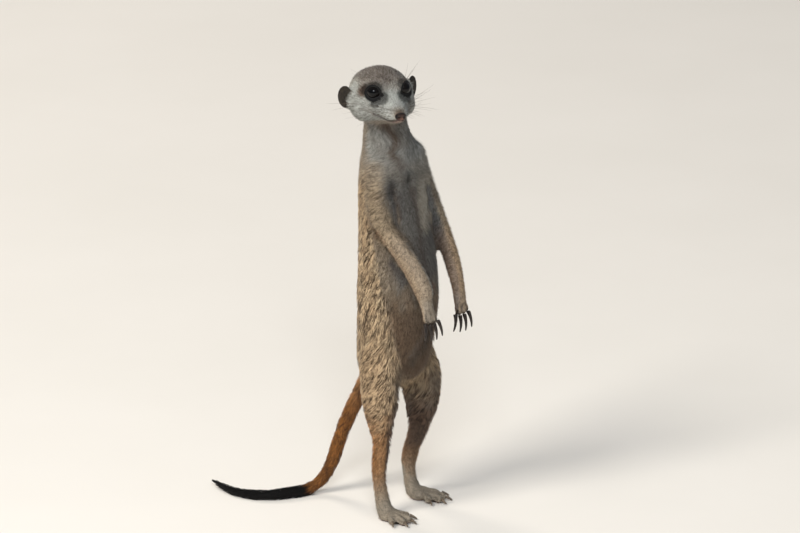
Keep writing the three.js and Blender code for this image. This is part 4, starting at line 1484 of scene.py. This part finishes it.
def coat_piece(coat, name, chosen, kind, slot, rings, budget, members, reach, gather, width):
    """One piece of the coat, on the skin points chosen by a mask: locks of hair, each of a few tufts."""
    faces = np.nonzero(chosen[coat.skin.triangles[:, 0]])[0]
    at_face = coat.skin.triangles[faces, 0]
    weight = (1 - coat.bare[at_face]) / np.maximum(coat.lie.length[at_face], 0.8) ** 0.9
    per_tuft = 4 + 6 * (len(rings) - 1)
    count = int(budget / per_tuft / members)
    at, number = coat.sample(faces, weight, count)
    sway = rng.normal(0, LOCK_SWAY, count) + 0.16 * waves(at, 15, 6)
    tone = rng.normal(0, LOCK_TONE, count) * (1 + 0.3 * coat.marks[number, MARKS.index("grizzle")])
    length = coat.lie.length[number] * rng.uniform(0.75, 1.2, count)
    lift = coat.lie.depth[number] * rng.uniform(0.75, 1.2, count)
    stations = tuple(rings[1:]) + (1.0,)
    lock, _ = coat.grow(at, number, length, lift, sway, stations)
    owner = np.repeat(np.arange(count), members)
    total = len(owner)
    drift = rng.normal(0, 0.5, (total, 3)) * np.minimum(reach, 0.16 * length[owner] + 0.2)[:, None]
    start = at[owner] + drift
    number = coat.skin.find(start, number[owner])
    start = coat.on_skin(start, number)
    length = length[owner] * rng.uniform(0.8, 1.12, total)
    lift = lift[owner] * rng.uniform(0.65, 1.3, total)
    sway = sway[owner] + rng.normal(0, TUFT_SWAY, total)
    places, normals = coat.grow(start, number, length, lift, sway, stations)
    pull = gather * np.array((0.0,) + stations) ** 1.4
    places = places + pull[None, :, None] * (lock[owner] - places)
    places[:, :, 2] = np.maximum(places[:, :, 2], COAT_OFF_FLOOR)
    tone = tone[owner] + rng.normal(0, TUFT_TONE, total)
    thick = width * (THIN_HAIR + THICKER_PER_LENGTH * length) * rng.uniform(0.75, 1.25, total)
    points, triangles, facing, per = tuft_mesh(places, normals, thick, np.array(rings))
    piece = object_from(name, points, triangles)
    piece.data.normals_split_custom_set_from_vertices(facing.astype(np.float32))
    hair = np.ones((total, per, 4))
    hair[:, :, 0] = np.concatenate([np.repeat(rings, 3), [1.0]])
    hair[:, :, 1] = np.clip(tone, -1, 1)[:, None] * 0.5 + 0.5
    hair[:, :, 2] = rng.random(total)[:, None]
    put_colours(piece, "hair", hair.reshape(-1, 4))
    put_marks(piece, np.repeat(coat.marks[number], per, axis=0))
    root = unwrap(coat, number, kind) * (1 - 2 * PATCH) + PATCH
    uv = patch_map(root, np.array(rings), per).reshape(-1, 2)
    layer = piece.data.uv_layers.new(name="OFBake")
    layer.data.foreach_set("uv", uv[triangles.ravel()].astype(np.float32).ravel())
    piece.data.materials.append(coat.material)
    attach(piece, "root")


def grow_coat(coat):
    """Parts the skin between the pieces, with ragged borders, and grows each piece.

    Each row below ends in the rings of a tuft, the piece's triangles, the tufts in a lock, how far they lie
    apart, how much their tips gather, and their width.
    """
    lie = coat.lie
    count = len(lie.p)
    kinds = ("head", "spine", "arm", "leg", "tail")
    kind = np.stack([lie.share(kind) + 0.25 * rng.random(count) for kind in kinds]).argmax(0)
    high = lie.p[:, 2] + 12 * rng.random(count) > 252
    low = lie.along("leg") + 0.5 * rng.random(count) > 2.6
    front = lie.n[:, 1] + 0.3 * rng.random(count) < -0.1
    brow = lie.head[:, 1] + 4 * rng.random(count) < -1
    top, trunk, arm, leg, tail = (kind == i for i in range(len(kinds)))
    flank = np.abs(lie.n[:, 0]) + 0.2 * rng.random(count) > 0.7
    body, rear = trunk & ~high, trunk & ~high & ~front
    for row in (
            ("coat_face", top & brow, "head", "coat_face", RINGS_FINE, 170000, 4, 0.6, 0.35, 0.72),
            ("coat_crown", top & ~brow, "head", "coat_face", RINGS_FINE, 100000, 4, 0.7, 0.35, 0.75),
            ("coat_neck", trunk & high, "spine", "coat_back", RINGS_FINE, 160000, 5, 0.9, 0.4, 0.6),
            ("coat_back", rear & ~flank, "spine", "coat_back", RINGS_SHORT, 185000, 6, 1.1, 0.5, 0.75),
            ("coat_flanks", rear & flank, "spine", "coat_back", RINGS_SHORT, 195000, 6, 1.1, 0.5, 0.75),
            ("coat_belly", body & front, "spine", "coat_belly", RINGS_FINE, 120000, 5, 1.0, 0.4, 0.62),
            ("coat_thighs", leg & ~low, "leg", "coat_leg", RINGS_SHORT, 195000, 6, 1.1, 0.5, 0.75),
            ("coat_shanks", leg & low, "leg", "coat_paw", RINGS_FINE, 110000, 4, 0.7, 0.35, 0.7),
            ("coat_arms", arm, "arm", "coat_leg", RINGS_FINE, 150000, 5, 0.9, 0.4, 0.64),
            ("coat_tail", tail, "tail", "coat_tail", RINGS_SHORT, 90000, 4, 0.9, 0.4, 0.8)):
        coat_piece(coat, *row)


EAR_MIDDLE = np.array([26.0, 4.6, -0.3])
EAR_TURN = math.radians(38)
EAR_ACROSS = np.array([math.sin(EAR_TURN), math.cos(EAR_TURN), 0.0])
EAR_HALF_WIDE, EAR_HALF_HIGH = 6.6, 8.6


def ear_radius(lie):
    """Distance from the middle of the ear's bowl, 1 at its rim."""
    off = lie.folded - EAR_MIDDLE
    return np.hypot(off @ EAR_ACROSS / EAR_HALF_WIDE, off[:, 2] / EAR_HALF_HIGH)


def ear_hollow(lie):
    """How much a point of the ear faces out of its bowl, to the front and side."""
    outward = np.sign(lie.head[:, 0])
    facing = lie.head_n[:, 0] * outward * 0.6 - lie.head_n[:, 1] * 0.75
    return ramp(0.1, 0.5, facing)


# ------------------------------------------------------------------ eyes, claws, whiskers

CORNEA_RISE, CORNEA_WIDE = 0.28, 36


def eye_piece(side, look):
    """A ball with a raised cornea, its pole along the gaze."""
    sign = SIDES[side]
    centre, gaze, out, up = eye_axes(sign)
    rows, columns = 36, 48
    tilt = np.linspace(0, math.pi, rows + 1)[1:-1]
    turn = np.arange(columns) * 2 * math.pi / columns
    t, a = np.meshgrid(tilt, turn, indexing="ij")
    radius = EYE_RADIUS + CORNEA_RISE * np.exp(-(np.degrees(t) / CORNEA_WIDE) ** 4)
    local = np.stack([np.sin(t) * np.cos(a), np.sin(t) * np.sin(a), np.cos(t)], -1) * radius[..., None]
    ball = np.vstack([[[0, 0, EYE_RADIUS + CORNEA_RISE]], local.reshape(-1, 3), [[0, 0, -EYE_RADIUS]]])
    points = from_head(centre + ball[:, :1] * out + ball[:, 1:2] * up + ball[:, 2:] * gaze)
    faces = []
    count = len(tilt)
    for i in range(columns):
        j = (i + 1) % columns
        faces.append((0, 1 + i, 1 + j))
        faces.append((1 + count * columns, 1 + (count - 1) * columns + j, 1 + (count - 1) * columns + i))
        for r in range(count - 1):
            here, below = 1 + r * columns, 1 + (r + 1) * columns
            faces.append((here + i, below + i, below + j))
            faces.append((here + i, below + j, here + j))
    faces = np.array(faces)
    if np.dot(np.cross(out, up), gaze) < 0:
        faces = faces[:, ::-1]
    piece = object_from("eye_" + side + "_ball", points, faces)
    angle = np.concatenate([[0], t.ravel(), [math.pi]])
    spin = np.concatenate([[0], a.ravel(), [0]])
    values = np.stack([angle, np.sin(spin) * 0.5 + 0.5, np.cos(spin) * 0.5 + 0.5, np.ones_like(angle)], 1)
    put_colours(piece, "gaze", values)
    piece.data.materials.append(look)
    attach(piece, "root")
    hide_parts("eye_" + side)


CLAW_SWELL = 0.28


def claw_piece(limb, side, look):
    """The four claws of one hand or foot, rounded from their solids."""
    names = claw_names(limb, side)
    joined = bmesh.new()
    for name in names:
        joined.from_mesh(nodes[name].data)
    bmesh.ops.remove_doubles(joined, verts=joined.verts, dist=1e-6)
    bmesh.ops.recalc_face_normals(joined, faces=joined.faces)
    mesh = bpy.data.meshes.new("claws")
    joined.to_mesh(mesh)
    joined.free()
    blank = bpy.data.objects.new("claws", mesh)
    bpy.context.scene.collection.objects.link(blank)
    rounder = blank.modifiers.new("round", "SUBSURF")
    rounder.levels = rounder.render_levels = 2
    final = evaluated_mesh(blank)
    drop(blank)
    normals = np.array([vertex.normal[:] for vertex in final.vertices])
    points = (mesh_points(final) + CLAW_SWELL * normals) * MM
    final.vertices.foreach_set("co", points.astype(np.float32).ravel())
    final.name = f"claws_{limb}_{side}"
    final.polygons.foreach_set("use_smooth", np.ones(len(final.polygons), bool))
    piece = bpy.data.objects.new(final.name, final)
    bpy.context.scene.collection.objects.link(piece)
    final.materials.clear()
    final.materials.append(look)
    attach(piece, "root")
    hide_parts(*names)


def whisker_lines(lie):
    """Lines of the whiskers in the head's frame: muzzle rows, brow, cheek and chin."""
    local = np.random.default_rng(7)
    starts = []
    for root, sign, row, column in whisker_roots(lie):
        aim = (0.95, 0.42 - 0.10 * column, 0.36 - 0.26 * row)
        starts.append((lie.head[root], sign, aim, 13 + 3.4 * column - 1.2 * row))
    for middle, aim, length in (
            ((10.0, -17.5, 13.5), (0.55, 0.1, 0.85), 17), ((12.0, -15.5, 14.0), (0.75, 0.2, 0.7), 20),
            ((14.0, -12.5, 13.5), (0.8, 0.35, 0.55), 15), ((20.5, -7.0, -3.0), (0.9, 0.45, 0.0), 19),
            ((20.0, -5.0, -6.0), (0.85, 0.45, -0.3), 16), ((3.0, -30.0, -14.0), (0.45, 0.1, -0.9), 9)):
        for sign in SIDES.values():
            gap = np.linalg.norm(lie.head - np.array(middle) * (sign, 1, 1), axis=1)
            starts.append((lie.head[gap.argmin()], sign, aim, length))
    share = np.linspace(0, 1, 9)[:, None]
    lines = []
    for start, sign, aim, length in starts:
        aim = unit(np.array(aim) * (sign, 1, 1) + local.normal(0, 0.07, 3))
        bend = np.array([0, 0.16, -0.10]) + local.normal(0, 0.05, 3)
        reach = length * local.uniform(0.85, 1.12)
        lines.append(from_head(start - 0.4 * aim + reach * (share * aim + share ** 2 * bend)))
    return lines


def whisker_tree():
    """Turns every edge line into a tapering hair."""
    tree = bpy.data.node_groups.new("whiskers", "GeometryNodeTree")
    tree.is_modifier = True
    sockets = (("Geometry", "Geometry"), ("Thickness", "Float"), ("Tip", "Float"), ("Sides", "Int"),
               ("Hair", "Material"))
    for label, kind in sockets:
        tree.interface.new_socket(label, in_out="INPUT", socket_type="NodeSocket" + kind)
    tree.interface.new_socket("Geometry", in_out="OUTPUT", socket_type="NodeSocketGeometry")
    given = tree.nodes.new("NodeGroupInput").outputs
    result = tree.nodes.new("NodeGroupOutput").inputs
    line = add(tree, "GeometryNodeMeshToCurve", {"Mesh": given["Geometry"]}).outputs[0]
    along = add(tree, "GeometryNodeSplineParameter").outputs["Factor"]
    taper = rescale(tree, along, 0.0, 1.0, 1.0, given["Tip"])
    radius = math_node(tree, "MULTIPLY", given["Thickness"], 0.5)
    ring = {"Resolution": given["Sides"], "Radius": radius}
    ring = add(tree, "GeometryNodeCurvePrimitiveCircle", ring).outputs[0]
    parts = {"Curve": line, "Profile Curve": ring, "Scale": taper, "Fill Caps": True}
    hair = add(tree, "GeometryNodeCurveToMesh", parts).outputs[0]
    hair = add(tree, "GeometryNodeSetShadeSmooth", {"Geometry": hair}).outputs[0]
    hair = add(tree, "GeometryNodeRealizeInstances", {"Geometry": hair}).outputs[0]
    hair = add(tree, "GeometryNodeSetMaterial", {"Geometry": hair, "Material": given["Hair"]}).outputs[0]
    tree.links.new(hair, result[0])
    return tree


WHISKER_THICK = 0.19
WHISKER_TIP = 0.25
WHISKER_SIDES = 5


def whiskers(lie):
    lines = whisker_lines(lie)
    per = len(lines[0])
    edges = [(per * i + k, per * i + k + 1) for i in range(len(lines)) for k in range(per - 1)]
    mesh = bpy.data.meshes.new("whisker_lines")
    mesh.from_pydata((np.vstack(lines) * MM).tolist(), edges, [])
    blank = bpy.data.objects.new("whisker_lines", mesh)
    bpy.context.scene.collection.objects.link(blank)
    look = whisker_material()
    tree = whisker_tree()
    grow = blank.modifiers.new("grow", "NODES")
    grow.node_group = tree
    sockets = {item.name: item.identifier for item in tree.interface.items_tree if item.in_out == "INPUT"}
    settings = {"Thickness": WHISKER_THICK * MM, "Tip": WHISKER_TIP, "Sides": WHISKER_SIDES, "Hair": look}
    for label, value in settings.items():
        grow[sockets[label]] = value
    final = evaluated_mesh(blank)
    drop(blank)
    final.name = "whiskers"
    piece = bpy.data.objects.new("whiskers", final)
    bpy.context.scene.collection.objects.link(piece)
    if not final.materials:
        final.materials.append(look)
    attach(piece, "root")


FLOOR_HALF = 15.0
LIGHT_AIM = Vector((0, 0, 0.17))


def make_stage():
    mesh = bpy.data.meshes.new("floor")
    corners = [(x * FLOOR_HALF, y * FLOOR_HALF, 0) for x, y in ((-1, -1), (1, -1), (1, 1), (-1, 1))]
    mesh.from_pydata(corners, [], [(0, 1, 2, 3)])
    floor = bpy.data.objects.new("floor", mesh)
    bpy.context.scene.collection.objects.link(floor)
    mesh.materials.append(floor_material())


def area_light(name, at, size, power, colour, shiny):
    data = bpy.data.lights.new(name, "AREA")
    data.shape = "RECTANGLE"
    data.size, data.size_y = size
    data.energy = power
    data.color = colour
    light = bpy.data.objects.new(name, data)
    at = Vector(at)
    turn = (LIGHT_AIM - at).to_track_quat("-Z", "Y").to_matrix().to_4x4()
    light.matrix_world = Matrix.Translation(at) @ turn
    light.visible_camera = False
    light.visible_glossy = shiny
    bpy.context.scene.collection.objects.link(light)


def make_lights():
    world = bpy.data.worlds.new("studio")
    world.use_nodes = True
    sky = world.node_tree.nodes["Background"].inputs
    sky["Color"].default_value = (0.86, 0.92, 1.0, 1)
    sky["Strength"].default_value = 0.26
    bpy.context.scene.world = world
    area_light("key", (-2.6, 0.2, 2.6), (1.3, 1.3), 104, (1.0, 0.95, 0.87), False)
    area_light("front", (-1.2, -2.0, 1.6), (1.9, 0.9), 6, (0.92, 0.96, 1.0), False)
    area_light("glint", (-1.6, -1.5, 1.9), (0.7, 0.5), 30, (0.92, 0.96, 1.0), True)
    area_light("rim", (0.6, 2.6, 2.4), (1.2, 1.2), 44, (1.0, 0.92, 0.82), False)


def build():
    bpy.context.scene.view_settings.view_transform = "Standard"
    group = coat_colour_group()
    skin = build_skin()
    lie = Lie(skin.points, skin.normals)
    marks = markings(lie)
    piece = object_from("skin", skin.points, skin.triangles)
    put_marks(piece, marks)
    piece.data.materials.append(skin_material(group))
    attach(piece, "root")
    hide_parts(*[name for name in FLESH if not name.startswith("eye")])
    grow_coat(Coat(skin, lie, marks, coat_material(group)))
    whiskers(lie)
    wet = eye_material()
    black_horn = horn_material("claw_horn_black", srgb(16, 13, 12), srgb(58, 46, 38))
    grey_horn = horn_material("claw_horn_grey", srgb(70, 60, 50), srgb(140, 124, 106))
    for side in SIDES:
        eye_piece(side, wet)
        claw_piece("hand", side, black_horn)
        claw_piece("foot", side, grey_horn)
    make_stage()
    make_lights()


build()
